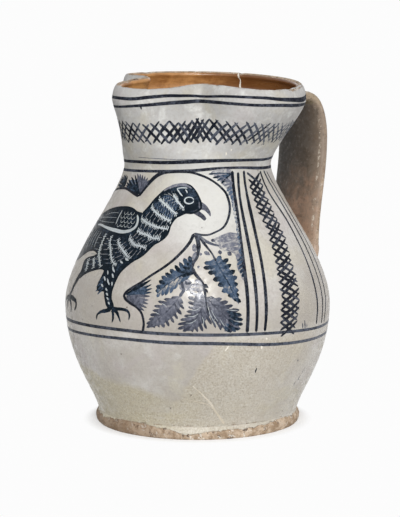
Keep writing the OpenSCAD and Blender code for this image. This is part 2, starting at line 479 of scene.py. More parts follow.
def alike(lines: Lines, widths: Floats, loads: Floats = (0.95,)) -> list[Stroke]:
    """Strokes of the same widths and loads."""
    return [Stroke(places, widths, loads) for places in lines]


def drawn(rows: Drawn) -> list[Stroke]:
    """Strokes from rows of places, widths and a load."""
    return [Stroke(places, widths, (load,)) for places, widths, load in rows]


def straight(start: Array, end: Array) -> Line:
    """Places of a straight stroke."""
    return (tuple(start), tuple((start + end) / 2), tuple(end))


def graded(where: float, table: Line) -> float:
    """Second number that goes with a first one, between the pairs of a table."""
    return float(np.interp(where, *np.array(table, float).T))


def mirrored(places: Line) -> Line:
    """The same places on the other side of the spout."""
    return [(-angle, level) for angle, level in places]


def smooth_line(places: Line, step: float, closed: bool = False) -> Array:
    """Places along a smooth curve through the given ones.

    Args:
        places: angles and levels.
        step: distance between the places made, in mm.
        closed: whether the curve returns to its first place.

    Returns:
        Array of angles and levels.
    """
    given = np.array(places, float)
    if closed:
        given = np.vstack([given[-2:], given, given[:3]])
    gaps = np.maximum(np.linalg.norm(np.diff(given * PLACE_MM, axis=0), axis=1), 1e-6)
    at = np.concatenate([[0], np.cumsum(gaps)])
    if len(given) > 2:
        slope = np.gradient(given, at, axis=0)
    else:
        slope = np.repeat(np.diff(given, axis=0) / gaps, 2, 0)
    first, last = (at[2], at[-3]) if closed else (0.0, at[-1])
    count = max(4, int(math.ceil((last - first) / step)) + 1)
    where = np.linspace(first, last, count)
    if closed:
        where = where[:-1]
    k = np.clip(np.searchsorted(at, where, side="right") - 1, 0, len(gaps) - 1)
    width = gaps[k][:, None]
    t = ((where - at[k]) / gaps[k])[:, None]
    return ((2 * t**3 - 3 * t**2 + 1) * given[k] + (t**3 - 2 * t**2 + t) * width * slope[k]
            + (3 * t**2 - 2 * t**3) * given[k + 1] + (t**3 - t**2) * width * slope[k + 1])


def within(places: Array, rim: Array) -> Array:
    """Whether each place lies inside a closed outline.

    Args:
        places: angles and levels to test.
        rim: angles and levels round the outline.

    Returns:
        True or False for each place.
    """
    ahead = np.roll(rim, -1, axis=0)
    level = places[:, None, 1]
    spans = (rim[None, :, 1] > level) != (ahead[None, :, 1] > level)
    rise = np.where(ahead[:, 1] == rim[:, 1], 1e-9, ahead[:, 1] - rim[:, 1])
    cross = rim[None, :, 0] + (level - rim[None, :, 1]) / rise * (ahead - rim)[None, :, 0]
    return (spans & (places[:, None, 0] < cross)).sum(1) % 2 == 1


class Brush:
    """Lays colour on a surface as thin closed films. Lengths are in mm."""

    sink: float = 0.12
    crown: float = 0.05
    fullness: float = 1.4
    line_step: float = 1.1
    rim_step: float = 1.2
    grain: float = 1.8
    clearance: float = 0.4
    swells: int = 9
    swell: float = 0.09
    swell_limits: Zone = (0.7, 1.3)
    dabs: int = 7
    dab: float = 0.05
    thinnest: float = 0.05
    end_share: float = 0.03

    def __init__(self, surface: Surface, seed: int) -> None:
        """Takes up a surface to paint on and a seed for the hand's unevenness."""
        self.surface = surface
        self.hand = np.random.default_rng(seed)

    def line(self, stroke: Stroke, lift: float) -> Film:
        """Film of one stroke, standing by lift mm over the surface.

        Args:
            stroke: the stroke to lay.
            lift: height over the surface in mm.

        Returns:
            The closed film.
        """
        path = smooth_line(stroke.places, self.line_step)
        points, normals = self.surface(path[:, 0], path[:, 1])
        along = unit(np.gradient(points, axis=0))
        across = unit(np.cross(normals, along))
        gone = np.concatenate([[0], np.cumsum(np.linalg.norm(np.diff(points, axis=0), axis=1))])
        share = gone / gone[-1]
        widths = np.interp(share, np.linspace(0, 1, len(stroke.widths)), stroke.widths)
        uneven = self.hand.normal(1, self.swell, self.swells)
        swell = np.interp(share, np.linspace(0, 1, self.swells), uneven)
        half = self.fullness * widths * np.clip(swell, *self.swell_limits) / 2
        near = np.minimum(gone, gone[-1] - gone) / np.maximum(half, self.thinnest)
        half = half * np.sqrt(np.clip(1 - (1 - np.clip(near, 0, 1)) ** 2, self.end_share, 1))
        side = across * half[:, None]
        edge = (lift - self.crown) * normals
        rings = np.stack([points - side + edge, points + lift * normals, points + side + edge,
                          points - self.sink * normals], axis=1)
        loads = np.interp(share, np.linspace(0, 1, len(stroke.loads)), stroke.loads)
        dabs = self.hand.normal(0, self.dab, self.dabs)
        loads = loads + np.interp(share, np.linspace(0, 1, self.dabs), dabs)
        return tube(rings[:, ::-1], np.repeat(loads[:, None], 4, 1))

    def lines(self, strokes: Iterable[Stroke], lift: float) -> Film:
        """One film of several strokes."""
        return Film.joined([self.line(stroke, lift) for stroke in strokes])

    def wash(self, outline: Line, load: float, lift: float) -> Film:
        """Film that fills an outline.

        Args:
            outline: places round the edge.
            load: how much colour lies in it.
            lift: height over the surface in mm.

        Returns:
            The closed film.
        """
        rim = smooth_line(outline, self.rim_step, closed=True)
        low, high = rim.min(0), rim.max(0)
        turns = np.arange(low[0], high[0], self.grain / DEGREE_MM)
        levels = np.arange(low[1], high[1], self.grain)
        grid = np.stack(np.meshgrid(turns, levels), axis=-1).reshape(-1, 2)
        gaps = np.min(np.linalg.norm((grid[:, None] - rim[None]) * PLACE_MM, axis=2), axis=1)
        held = within(grid, rim) & (gaps > self.clearance * self.grain)
        places = np.vstack([rim, grid[held]])
        made = delaunay_2d_cdt([Vector(p) for p in places], [], [list(range(len(rim)))], 1, 1e-7)
        flat = np.array([tuple(v) for v in made[0]])
        triangles = [tuple(face) for face in made[2]]
        points, normals = self.surface(flat[:, 0], flat[:, 1])
        count = len(flat)
        sides: dict[tuple[int, int], int] = {}
        for a, b, c in triangles:
            for side in ((a, b), (b, c), (c, a)):
                sides[side] = 1
        walls = [(b, a, a + count, b + count) for a, b in sides if (b, a) not in sides]
        under = [(c + count, b + count, a + count) for a, b, c in triangles]
        loads = np.full(2 * count, load)
        stacked = np.vstack([points + lift * normals, points - self.sink * normals])
        return Film(stacked, triangles + under + walls, loads)


# Shaders


class Graph:
    """Adds nodes to a tree and joins them."""

    def __init__(self, tree: Tree) -> None:
        """Takes up an empty tree."""
        self.tree = tree

    def add(self, kind: str, inputs: dict[str | int, object] | None = None,
            **settings: object) -> bpy.types.Node:
        """Adds a node.

        Args:
            kind: the node's type.
            inputs: for each socket, a value or a socket to join it to.
            settings: properties of the node.

        Returns:
            The node.
        """
        node = self.tree.nodes.new(kind)
        for key, value in settings.items():
            setattr(node, key, value)
        for key, value in (inputs or {}).items():
            if isinstance(value, Socket):
                self.tree.links.new(value, node.inputs[key])
            else:
                node.inputs[key].default_value = value
        return node

    def math(self, operation: str, first: object, second: object = 0.0) -> Socket:
        """Result of a sum, product or other step of two values."""
        return self.add("ShaderNodeMath", {0: first, 1: second}, operation=operation).outputs[0]

    def plus(self, first: object, second: object) -> Socket:
        """Sum of two values."""
        return self.math("ADD", first, second)

    def minus(self, first: object, second: object) -> Socket:
        """One value less another."""
        return self.math("SUBTRACT", first, second)

    def times(self, first: object, second: object) -> Socket:
        """Product of two values."""
        return self.math("MULTIPLY", first, second)

    def most(self, first: object, second: object) -> Socket:
        """The greater of two values."""
        return self.math("MAXIMUM", first, second)

    def blend(self, first: object, first_share: float, second: object, second_share: float) -> Socket:
        """Sum of a share of one value and a share of another."""
        return self.plus(self.times(first, first_share), self.times(second, second_share))

    def swing(self, value: object, size: float) -> Socket:
        """A value from 0 to 1 as one that swings about 0, size wide."""
        return self.times(self.minus(value, 0.5), size)

    def spread(self, value: object, low: float, high: float, start: float = 0.0,
               end: float = 1.0) -> Socket:
        """Value moved smoothly from one range to another."""
        inputs = {"Value": value, "From Min": low, "From Max": high, "To Min": start, "To Max": end}
        return self.add("ShaderNodeMapRange", inputs, interpolation_type="SMOOTHSTEP").outputs[0]

    def mix(self, share: object, first: object, second: object) -> Socket:
        """Two colours mixed."""
        return self.add("ShaderNodeMix", {0: share, 6: first, 7: second}, data_type="RGBA").outputs[2]

    def layered(self, colour: object, *layers: tuple[object, object]) -> Socket:
        """Colour with others laid over it in turn, each by its share."""
        for share, tint in layers:
            colour = self.mix(share, colour, tint)
        return colour

    def place(self) -> Socket:
        """Place of the shaded point on the object."""
        return self.add("ShaderNodeTexCoord").outputs["Object"]

    def value(self) -> Socket:
        """Value that the piece has at the shaded point."""
        return self.add("ShaderNodeAttribute", attribute_name="value").outputs["Fac"]

    def measure(self, operation: str, place: object, other: Triple = (0.0, 0.0, 0.0)) -> Socket:
        """Length, distance or dot product of a place and another one."""
        node = self.add("ShaderNodeVectorMath", {0: place, 1: other}, operation=operation)
        return node.outputs["Value"]

    def stretched(self, place: object, scale: Triple) -> Socket:
        """Place with each axis scaled."""
        return self.add("ShaderNodeMapping", {"Vector": place, "Scale": scale}).outputs[0]

    def use(self, tree: Tree, inputs: dict[str | int, object] | None = None) -> bpy.types.NodeOutputs:
        """Outputs of a node group."""
        return self.add("ShaderNodeGroup", inputs, node_tree=tree).outputs

    def noise(self, place: object, scale: float, detail: float = 3.0, rough: float = 0.55,
              twist: float = 0.0) -> Socket:
        """Cloudy value from 0 to 1."""
        inputs = {"Vector": place, "Scale": scale, "Detail": detail, "Roughness": rough,
                  "Distortion": twist}
        return self.add("ShaderNodeTexNoise", inputs).outputs[0]


def empty_graph(owner: Material | bpy.types.World) -> Graph:
    """Graph for a material or a world, without the nodes that it starts with."""
    owner.use_nodes = True
    owner.node_tree.nodes.clear()
    return Graph(owner.node_tree)


def group(name: str, inputs: Sequence[tuple[str, str, object]],
          outputs: Sequence[tuple[str, str]]) -> tuple[Tree, Graph, dict, Callable]:
    """Starts a node group.

    Args:
        name: its name.
        inputs: name, kind and starting value of each input.
        outputs: name and kind of each output.

    Returns:
        The group, a graph for it, its input sockets by name, and a function that sets an output.
    """
    tree = bpy.data.node_groups.new(name, "ShaderNodeTree")
    for label, kind, value in inputs:
        tree.interface.new_socket(label, in_out="INPUT", socket_type=kind).default_value = value
    for label, kind in outputs:
        tree.interface.new_socket(label, in_out="OUTPUT", socket_type=kind)
    graph = Graph(tree)
    given = graph.add("NodeGroupInput").outputs
    result = graph.add("NodeGroupOutput").inputs

    def put(label: str, socket: Socket) -> None:
        tree.links.new(socket, result[label])

    return tree, graph, {label: given[label] for label, _, _ in inputs}, put


COLOUR = "NodeSocketColor"
FLOAT = "NodeSocketFloat"
SURFACE = (("Color", COLOUR), ("Roughness", FLOAT), ("Height", FLOAT))


@dataclass(frozen=True)
class TinFinish:
    """Greyish white glaze of the outside: its colours, and where they lie, in metres."""

    pale: Colour = srgb(197, 193, 187)
    dull: Colour = srgb(180, 174, 166)
    thick: Colour = srgb(216, 216, 212)
    cool: Colour = srgb(186, 186, 185)
    shade: Colour = srgb(164, 157, 148)
    cream: Colour = srgb(197, 191, 172)
    rose: Colour = srgb(189, 181, 181)
    stain: Colour = srgb(184, 175, 149)
    warm: Colour = srgb(188, 179, 161)
    soil: Colour = srgb(134, 121, 101)
    pit: Colour = srgb(92, 78, 64)
    reserve: Colour = srgb(166, 190, 204)
    reserve_share: float = 0.42
    cool_above: Zone = (0.165, 0.19)
    bright_above: Zone = (0.16, 0.2)
    dull_above: Zone = (0.145, 0.18)
    # Whiter ground round this place: partly thicker glaze, partly a painted highlight
    thick_and_highlight_place: Triple = (-0.036, -0.05, 0.158)
    thick_and_highlight_reach: Zone = (0.044, 0.012)
    shade_reach: Zone = (0.062, 0.1)
    field_low: Zone = (0.073, 0.079)
    field_high: Zone = (0.178, 0.162)
    warm_way: Triple = (0.79, -0.61, -0.65)
    warm_past: Zone = (-0.0345, -0.031)
    warm_below: Zone = (0.074, 0.069)
    warm_fades: Zone = (0.015, 0.045)
    soil_below: Zone = (0.04, 0.012)
    soil_fades: Zone = (-0.05, 0.0)
    left_below: Zone = (0.0285, 0.0225)
    left_fades: Zone = (-0.06, -0.012)
    left_slope: Zone = (1.146, 0.224)
    flat_scale: Triple = (0.16, 0.16, 1.5)
    roughness: float = 0.35


@dataclass(frozen=True)
class ClayFinish:
    """Bare fired clay."""

    light: Colour = srgb(196, 176, 154)
    dark: Colour = srgb(150, 127, 103)
    dust_and_shade: Colour = srgb(114, 92, 72)
    pit: Colour = srgb(72, 57, 46)
    flake: Colour = srgb(226, 220, 210)
    # Painted shade darkens the clay towards this way, the camera's left
    dark_way: Triple = (-0.79, 0.61, 0.0)
    shade_past: Zone = (0.005, 0.05)
    roughness: float = 0.85


@dataclass(frozen=True)
class PaintFinish:
    """Brushed colour, thin and thick."""

    thin: Colour
    thick: Colour
    gloss: float = 0.08
    specular: float = 0.04


@dataclass(frozen=True)
class LeadFinish:
    """Honey-brown glaze of the inside."""

    light: Colour = srgb(198, 146, 90)
    dark: Colour = srgb(142, 94, 49)
    deep: Colour = srgb(97, 57, 26)
    dark_way: Triple = (0.79, -0.61, 0.0)
    deep_past: Zone = (-0.004, 0.042)
    round_scale: Triple = (0.15, 0.15, 1.3)
    roughness: float = 0.25


@dataclass(frozen=True)
class HandleFinish:
    """Thin grey-brown glaze of the handle: its colours, and where they lie, in metres."""

    grey: Colour = srgb(93, 83, 73)
    brown: Colour = srgb(76, 64, 51)
    red: Colour = srgb(164, 130, 107)
    olive: Colour = srgb(140, 125, 95)
    pale: Colour = srgb(182, 162, 143)
    # Pale specks on the near ridge: partly worn chips, partly a painted highlight
    worn: Colour = srgb(222, 212, 196)
    # Painted shadow of the body on the strap's far side
    painted_body_shadow: Colour = srgb(48, 41, 34)
    dark_grain: Colour = srgb(70, 58, 47)
    pale_grain: Colour = srgb(150, 138, 124)
    red_below: Zone = (0.2, 0.12)
    olive_above: Zone = (0.214, 0.23)
    # Painted light pales the strap's near side, below this height and past this reach
    painted_lit_side_below: Zone = (0.226, 0.17)
    painted_lit_side_past: Zone = (-0.008, -0.028)
    low_end: Zone = (0.137, 0.121)
    narrow_side: Zone = (-0.0212, -0.0236)
    painted_body_shadow_past: Zone = (-0.004, 0.018)
    ridge_inner: Zone = (-0.0206, -0.0224)
    ridge_outer: Zone = (-0.0241, -0.0226)
    roughness: float = 0.5


@dataclass(frozen=True)
class MendFinish:
    """Chalky filler of old cracks."""

    light: Colour = srgb(232, 226, 214)
    dark: Colour = srgb(206, 196, 178)
    roughness: float = 0.9


class Finishes:
    """Makes the materials, from shared node groups."""

    def __init__(self) -> None:
        """Makes the groups first and then each material."""
        self.ground = self.make_ground(TinFinish())
        self.clay_group = self.make_clay(ClayFinish())
        self.paint_group = self.make_paint()
        self.tin = self.make_tin()
        self.reserve = self.make_reserve(TinFinish())
        self.clay = self.make_bare(ClayFinish())
        self.lead = self.make_lead(LeadFinish())
        self.handle = self.make_handle(HandleFinish())
        self.mend = self.make_mend(MendFinish())
        cobalt = PaintFinish(srgb(76, 93, 115), srgb(17, 26, 34))
        ink = PaintFinish(srgb(92, 97, 109), srgb(27, 30, 38))
        violet = PaintFinish(srgb(106, 109, 122), srgb(46, 50, 64), 0.1, 0.34)
        self.cobalt = self.make_brushed("cobalt_blue", cobalt)
        self.ink = self.make_brushed("line_blue", ink)
        self.violet = self.make_brushed("violet_grey", violet)

    @staticmethod
    def material(name: str) -> tuple[Material, Graph, bpy.types.Node]:
        """New material with its graph and its Principled BSDF.

        Args:
            name: name of the material.

        Returns:
            The material, its graph and its shader.
        """
        made = bpy.data.materials.new(name)
        graph = empty_graph(made)
        shader = graph.add("ShaderNodeBsdfPrincipled")
        graph.add("ShaderNodeOutputMaterial", {"Surface": shader.outputs[0]})
        return made, graph, shader

    @staticmethod
    def finish(graph: Graph, shader: bpy.types.Node, colour: Socket, rough: Socket, height: Socket,
               depth: float) -> None:
        """Joins a colour, a roughness and a relief of depth metres to a shader.

        Args:
            graph: graph of the material.
            shader: its shader.
            colour, rough, height: sockets that vary over the surface.
            depth: depth of the relief in metres.
        """
        bump = graph.add("ShaderNodeBump", {"Height": height, "Distance": depth, "Strength": 1.0})
        for label, socket in (("Base Color", colour), ("Roughness", rough), ("Normal", bump.outputs[0])):
            graph.tree.links.new(socket, shader.inputs[label])

    @staticmethod
    def make_ground(tin: TinFinish) -> Tree:
        """Group for the white ground: mottled, stained, crazed and pitted.

        Args:
            tin: colours of the glaze and where they lie.

        Returns:
            The group.
        """
        tree, g, _, put = group("Tin Glaze Ground", [], SURFACE)
        place = g.place()
        height = g.add("ShaderNodeSeparateXYZ", {0: place}).outputs[2]
        cloud = g.noise(place, 24, 4, 0.6, 0.4)
        fine = g.noise(place, 260, 3, 0.6)
        blush = g.noise(place, 33, 4, 0.6, 0.5)
        blotch = g.noise(place, 46, 5, 0.65, 0.8)

        # Mottle; whiter ground round the bird's head, partly thicker glaze and partly a painted highlight;
        # whiter cloudy patches high on the collar, partly painted highlights; and painted shade that
        # darkens the field away from the head
        patch = g.spread(g.noise(place, 62, 5, 0.65, 0.9), 0.5, 0.66)
        near = g.measure("DISTANCE", place, tin.thick_and_highlight_place)
        field = g.times(g.spread(height, *tin.field_low), g.spread(height, *tin.field_high))
        mottled = g.layered(
            tin.pale,
            (g.spread(cloud, 0.38, 0.62), tin.dull),
            (g.spread(height, *tin.cool_above, 0, 0.75), tin.cool),
            (g.spread(blush, 0.5, 0.64, 0, 0.5), tin.cream),
            (g.spread(blush, 0.47, 0.35, 0, 0.4), tin.rose),
            # Whiter cloudy patches high on the collar: partly painted highlights
            (g.times(patch, g.spread(height, *tin.bright_above, 0.3, 0.7)), tin.thick),
            (g.spread(g.noise(place, 540, 3, 0.6), 0.42, 0.66, 0, 0.3), tin.shade),
            (g.spread(near, *tin.thick_and_highlight_reach, 0, 0.7), tin.thick),
            # Painted shade: the field darkens away from the head
            (g.times(g.spread(near, *tin.shade_reach, 0, 0.66), field), tin.shade))

        # Warm and soiled parts of the lower belly
        across = g.measure("DOT_PRODUCT", place, tin.warm_way)
        edge = g.plus(across, g.swing(blotch, 0.016))
        warmed = g.times(g.spread(edge, *tin.warm_past), g.spread(height, *tin.warm_below))
        warmed = g.times(warmed, g.spread(across, *tin.warm_fades, 1, 0.25))
        rings = g.noise(g.stretched(place, tin.flat_scale), 150, 5, 0.65)
        darkened = g.times(g.spread(height, *tin.soil_below), g.spread(rings, 0.36, 0.6, 0.3, 1))
        darkened = g.times(darkened, g.spread(across, *tin.soil_fades, 0.9, 0.24))
        rise, turn = tin.left_slope
        slope = g.plus(g.blend(height, rise, across, turn), g.swing(blotch, 0.012))
        left = g.times(g.spread(slope, *tin.left_below), g.spread(across, *tin.left_fades, 0.8, 0))
        darkened = g.most(darkened, left)
        grain = g.noise(place, 880, 2, 0.55)
        grainy = g.most(g.times(warmed, 0.75), darkened)

        # Crazing and pinholes
        cells = g.add("ShaderNodeTexVoronoi", {"Vector": place, "Scale": 190.0, "Randomness": 1.0},
                      feature="DISTANCE_TO_EDGE").outputs[0]
        dots = g.add("ShaderNodeTexVoronoi", {"Vector": place, "Scale": 150.0, "Randomness": 1.0}).outputs
        chance = g.add("ShaderNodeSeparateColor", {0: dots["Color"]}).outputs[0]
        holes = g.times(g.spread(dots["Distance"], 0.05, 0.11, 1, 0), g.spread(chance, 0.9, 0.93))
        put("Color", g.layered(
            mottled,
            (g.times(warmed, 0.6), tin.warm),
            (g.most(g.spread(blotch, 0.58, 0.8, 0, 0.25), darkened), tin.stain),
            (g.times(g.spread(grain, 0.5, 0.68, 0, 0.55), grainy), tin.soil),
            (g.times(g.spread(grain, 0.46, 0.32, 0, 0.5), grainy), tin.thick),
            (g.times(g.spread(cells, 0.0, 0.035, 1, 0), g.spread(cloud, 0.4, 0.65, 0, 0.1)), tin.pit),
            (g.times(holes, 0.75), tin.pit)))

        gloss = g.spread(fine, 0.35, 0.65, tin.roughness - 0.14, tin.roughness + 0.2)
        put("Roughness", g.plus(gloss, g.spread(height, *tin.dull_above, 0, 0.34)))
        relief = g.blend(g.noise(place, 70, 2), 0.7, fine, 0.3)
        put("Height", g.minus(relief, g.times(holes, 0.8)))
        return tree

    @staticmethod
    def make_clay(clay: ClayFinish) -> Tree:
        """Group for bare clay: grainy, with dust in its hollows.

        Args:
            clay: colours of the clay.

        Returns:
            The group.
        """
        tree, g, _, put = group("Bare Clay", [], SURFACE)
        place = g.place()
        cloud = g.noise(place, 130, 5, 0.7, 0.5)
        grain = g.noise(place, 620, 3, 0.7)
        put("Color", g.layered(
            clay.light,
            (g.spread(cloud, 0.4, 0.6), clay.dark),
            (g.spread(grain, 0.54, 0.72, 0, 0.6), clay.dust_and_shade),
            (g.spread(g.noise(place, 220, 4, 0.65), 0.58, 0.64, 0, 0.85), clay.pit),
            (g.spread(g.noise(place, 230, 6, 0.75, 0.6), 0.56, 0.62, 0, 0.85), clay.flake)))
        put("Roughness", g.spread(grain, 0.2, 0.8, clay.roughness - 0.1, clay.roughness + 0.1))
        put("Height", g.blend(cloud, 0.5, grain, 0.5))
        return tree

    @staticmethod
    def make_paint() -> Tree:
        """Group for brushed colour: streaky where thin, dense where thick.

        Returns:
            The group.
        """
        inputs = [("Ground", COLOUR, (0.6, 0.6, 0.6, 1.0)), ("Thin", COLOUR, (0.1, 0.1, 0.2, 1.0)),
                  ("Thick", COLOUR, (0.02, 0.02, 0.03, 1.0)), ("Load", FLOAT, 0.8)]
        tree, g, given, put = group("Brushed Colour", inputs, [("Color", COLOUR)])
        place = g.place()
        streak = g.minus(g.noise(place, 560, 4, 0.7, 0.3), 0.5)
        pool = g.swing(g.noise(place, 120, 3, 0.6), 0.55)
        load = g.plus(given["Load"], g.plus(streak, pool))
        pigment = g.mix(g.spread(load, 0.45, 0.95), given["Thin"], given["Thick"])
        put("Color", g.mix(g.spread(load, 0.05, 0.5), given["Ground"], pigment))
        return tree

    def make_tin(self) -> Material:
        """White glaze, worn to the clay where the piece's value is high.

        Returns:
            The material.
        """
        made, g, shader = self.material("tin_glaze")
        ragged = g.plus(g.value(), g.minus(g.noise(g.place(), 170, 5, 0.7), 0.5))
        worn = g.spread(ragged, 0.62, 0.72)
        ground = g.use(self.ground)
        bare = g.use(self.clay_group)
        colour = g.mix(worn, ground["Color"], bare["Color"])
        rough = g.plus(ground["Roughness"], g.times(worn, 0.5))
        height = g.minus(ground["Height"], g.times(worn, 0.9))
        self.finish(g, shader, colour, rough, height, 0.0004)
        return made

    def make_reserve(self, tin: TinFinish) -> Material:
        """White ground seen between painted parts, tinted by the colour round it.

        Args:
            tin: colours of the glaze.

        Returns:
            The material.
        """
        made, g, shader = self.material("reserved_ground")
        ground = g.use(self.ground)
        tint = g.mix(tin.reserve_share, ground["Color"], tin.reserve)
        self.finish(g, shader, tint, ground["Roughness"], ground["Height"], 0.0003)
        return made

    def make_bare(self, clay: ClayFinish) -> Material:
        """Bare clay with remains of glaze where the piece's value is high, and painted shade that darkens
        the side on the camera's left.

        Args:
            clay: colours of the clay.

        Returns:
            The material.
        """
        made, g, shader = self.material("bare_clay")
        place = g.place()
        loss = g.swing(g.noise(place, 160, 6, 0.75), 2.4)
        glazed = g.spread(g.plus(g.value(), loss), 0.5, 0.62)
        ground = g.use(self.ground)
        bare = g.use(self.clay_group)
        # Painted shade: the clay darkens towards the camera's left, in the dust colour
        across = g.measure("DOT_PRODUCT", place, clay.dark_way)
        darkened = g.mix(g.spread(across, *clay.shade_past, 0, 0.55), bare["Color"], clay.dust_and_shade)
        colour = g.mix(glazed, darkened, ground["Color"])
        rough = g.minus(bare["Roughness"], g.times(glazed, 0.4))
        height = g.plus(bare["Height"], g.times(glazed, 0.7))
        self.finish(g, shader, colour, rough, height, 0.0004)
        return made

    def make_lead(self, lead: LeadFinish) -> Material:
        """Brown lining, streaked round the wall, thin at the lip where the value is high.

        Args:
            lead: colours of the glaze.

        Returns:
            The material.
        """
        made, g, shader = self.material("lead_glaze")
        place = g.place()
        turned = g.stretched(place, lead.round_scale)
        streak = g.noise(turned, 150, 6, 0.65, 0.9)
        cloud = g.noise(place, 62, 6, 0.7, 0.6)
        thread = g.noise(turned, 420, 4, 0.65, 0.8)
        across = g.measure("DOT_PRODUCT", place, lead.dark_way)
        ragged = g.plus(g.value(), g.minus(g.noise(place, 150, 5, 0.7), 0.5))
        worn = g.spread(ragged, 0.55, 0.8)
        colour = g.layered(
            lead.light,
            (g.spread(g.blend(streak, 0.5, cloud, 0.65), 0.46, 0.7), lead.dark),
            (g.spread(across, *lead.deep_past, 0, 0.85), lead.deep),
            (g.spread(thread, 0.52, 0.66, 0, 0.24), lead.deep),
            (worn, g.use(self.clay_group)["Color"]))
        gloss = g.spread(streak, 0.3, 0.7, lead.roughness, lead.roughness + 0.15)
        rough = g.plus(gloss, g.times(worn, 0.4))
        self.finish(g, shader, colour, rough, g.minus(streak, worn), 0.0003)
        return made

    def make_handle(self, handle: HandleFinish) -> Material:
        """Grey-brown glaze, worn to the clay along the edges, where the value is high.

        Args:
            handle: colours of the glaze and where they lie.

        Returns:
            The material.
        """
        made, g, shader = self.material("handle_glaze")
        place = g.place()
        _, side, height = g.add("ShaderNodeSeparateXYZ", {0: place}).outputs
        cloud = g.noise(place, 55, 5, 0.65, 0.7)
        fine = g.noise(place, 380, 4, 0.7)
        drift = g.swing(g.noise(place, 85, 5, 0.7, 0.8), 2.2)
        below = g.plus(g.spread(height, *handle.red_below), drift)
        above = g.plus(g.spread(height, *handle.olive_above), drift)
        uneven = g.plus(side, g.times(drift, 0.008))
        # Painted light pales the near side; the far side darkens with painted shadow of the body
        painted_lit_side = g.times(g.spread(uneven, *handle.painted_lit_side_past, 0, 0.45),
                         g.spread(height, *handle.painted_lit_side_below, 0.45, 1))
        low_end = g.spread(g.plus(height, g.times(drift, 0.006)), *handle.low_end, 0, 0.62)
        narrow = g.spread(uneven, *handle.narrow_side, 0, 0.44)
        ridge = g.times(g.spread(side, *handle.ridge_inner), g.spread(side, *handle.ridge_outer))
        specks = g.spread(g.noise(place, 330, 5, 0.75), 0.5, 0.62, 0, 0.8)
        worn = g.spread(g.plus(g.value(), g.swing(cloud, 0.9)), 0.45, 0.8)
        colour = g.layered(
            handle.grey,
            (g.spread(cloud, 0.36, 0.64), handle.brown),
            (g.spread(below, 0.1, 1.1, 0, 0.8), handle.red),
            (g.spread(above, 0.2, 0.9, 0, 0.8), handle.olive),
            (g.most(painted_lit_side, g.most(low_end, narrow)), handle.pale),
            (g.spread(uneven, *handle.painted_body_shadow_past, 0, 0.74), handle.painted_body_shadow),
            # Pale specks on the near ridge: partly worn chips, partly a painted highlight
            (g.times(ridge, specks), handle.worn),
            (worn, g.use(self.clay_group)["Color"]),
            (g.spread(fine, 0.54, 0.7, 0, 0.5), handle.dark_grain),
            (g.spread(fine, 0.44, 0.3, 0, 0.35), handle.pale_grain))
        gloss = g.spread(fine, 0.3, 0.7, handle.roughness - 0.1, handle.roughness + 0.15)
        rough = g.plus(gloss, g.times(worn, 0.25))
        self.finish(g, shader, colour, rough, g.blend(cloud, 0.6, fine, 0.4), 0.0005)
        return made

    def make_mend(self, mend: MendFinish) -> Material:
        """Chalky filler.

        Args:
            mend: colours of the filler.

        Returns:
            The material.
        """
        made, g, shader = self.material("crack_filler")
        place = g.place()
        grain = g.noise(place, 500, 4, 0.7)
        thin = g.plus(g.noise(place, 160, 3), g.minus(0.9, g.value()))
        colour = g.mix(g.spread(thin, 0.35, 0.85), mend.light, mend.dark)
        rough = g.spread(grain, 0.2, 0.8, mend.roughness - 0.1, mend.roughness + 0.05)
        self.finish(g, shader, colour, rough, grain, 0.0003)
        return made

    def make_brushed(self, name: str, paint: PaintFinish) -> Material:
        """Brushed colour in the glaze, as thick as the piece's value says.

        Args:
            name: name of the material.
            paint: its colours and its gloss.

        Returns:
            The material.
        """
        made, g, shader = self.material(name)
        ground = g.use(self.ground)
        inputs = {"Ground": ground["Color"], "Thin": paint.thin, "Thick": paint.thick, "Load": g.value()}
        brushed = g.use(self.paint_group, inputs)
        shader.inputs["Specular IOR Level"].default_value = paint.specular
        rough = g.minus(ground["Roughness"], paint.gloss)
        self.finish(g, shader, brushed["Color"], rough, ground["Height"], 0.0005)
        return made


# Thrown parts


@dataclass
class Pottery:
    """What every part of the jug is made with."""

    form: JugForm
    bench: Bench
    finishes: Finishes


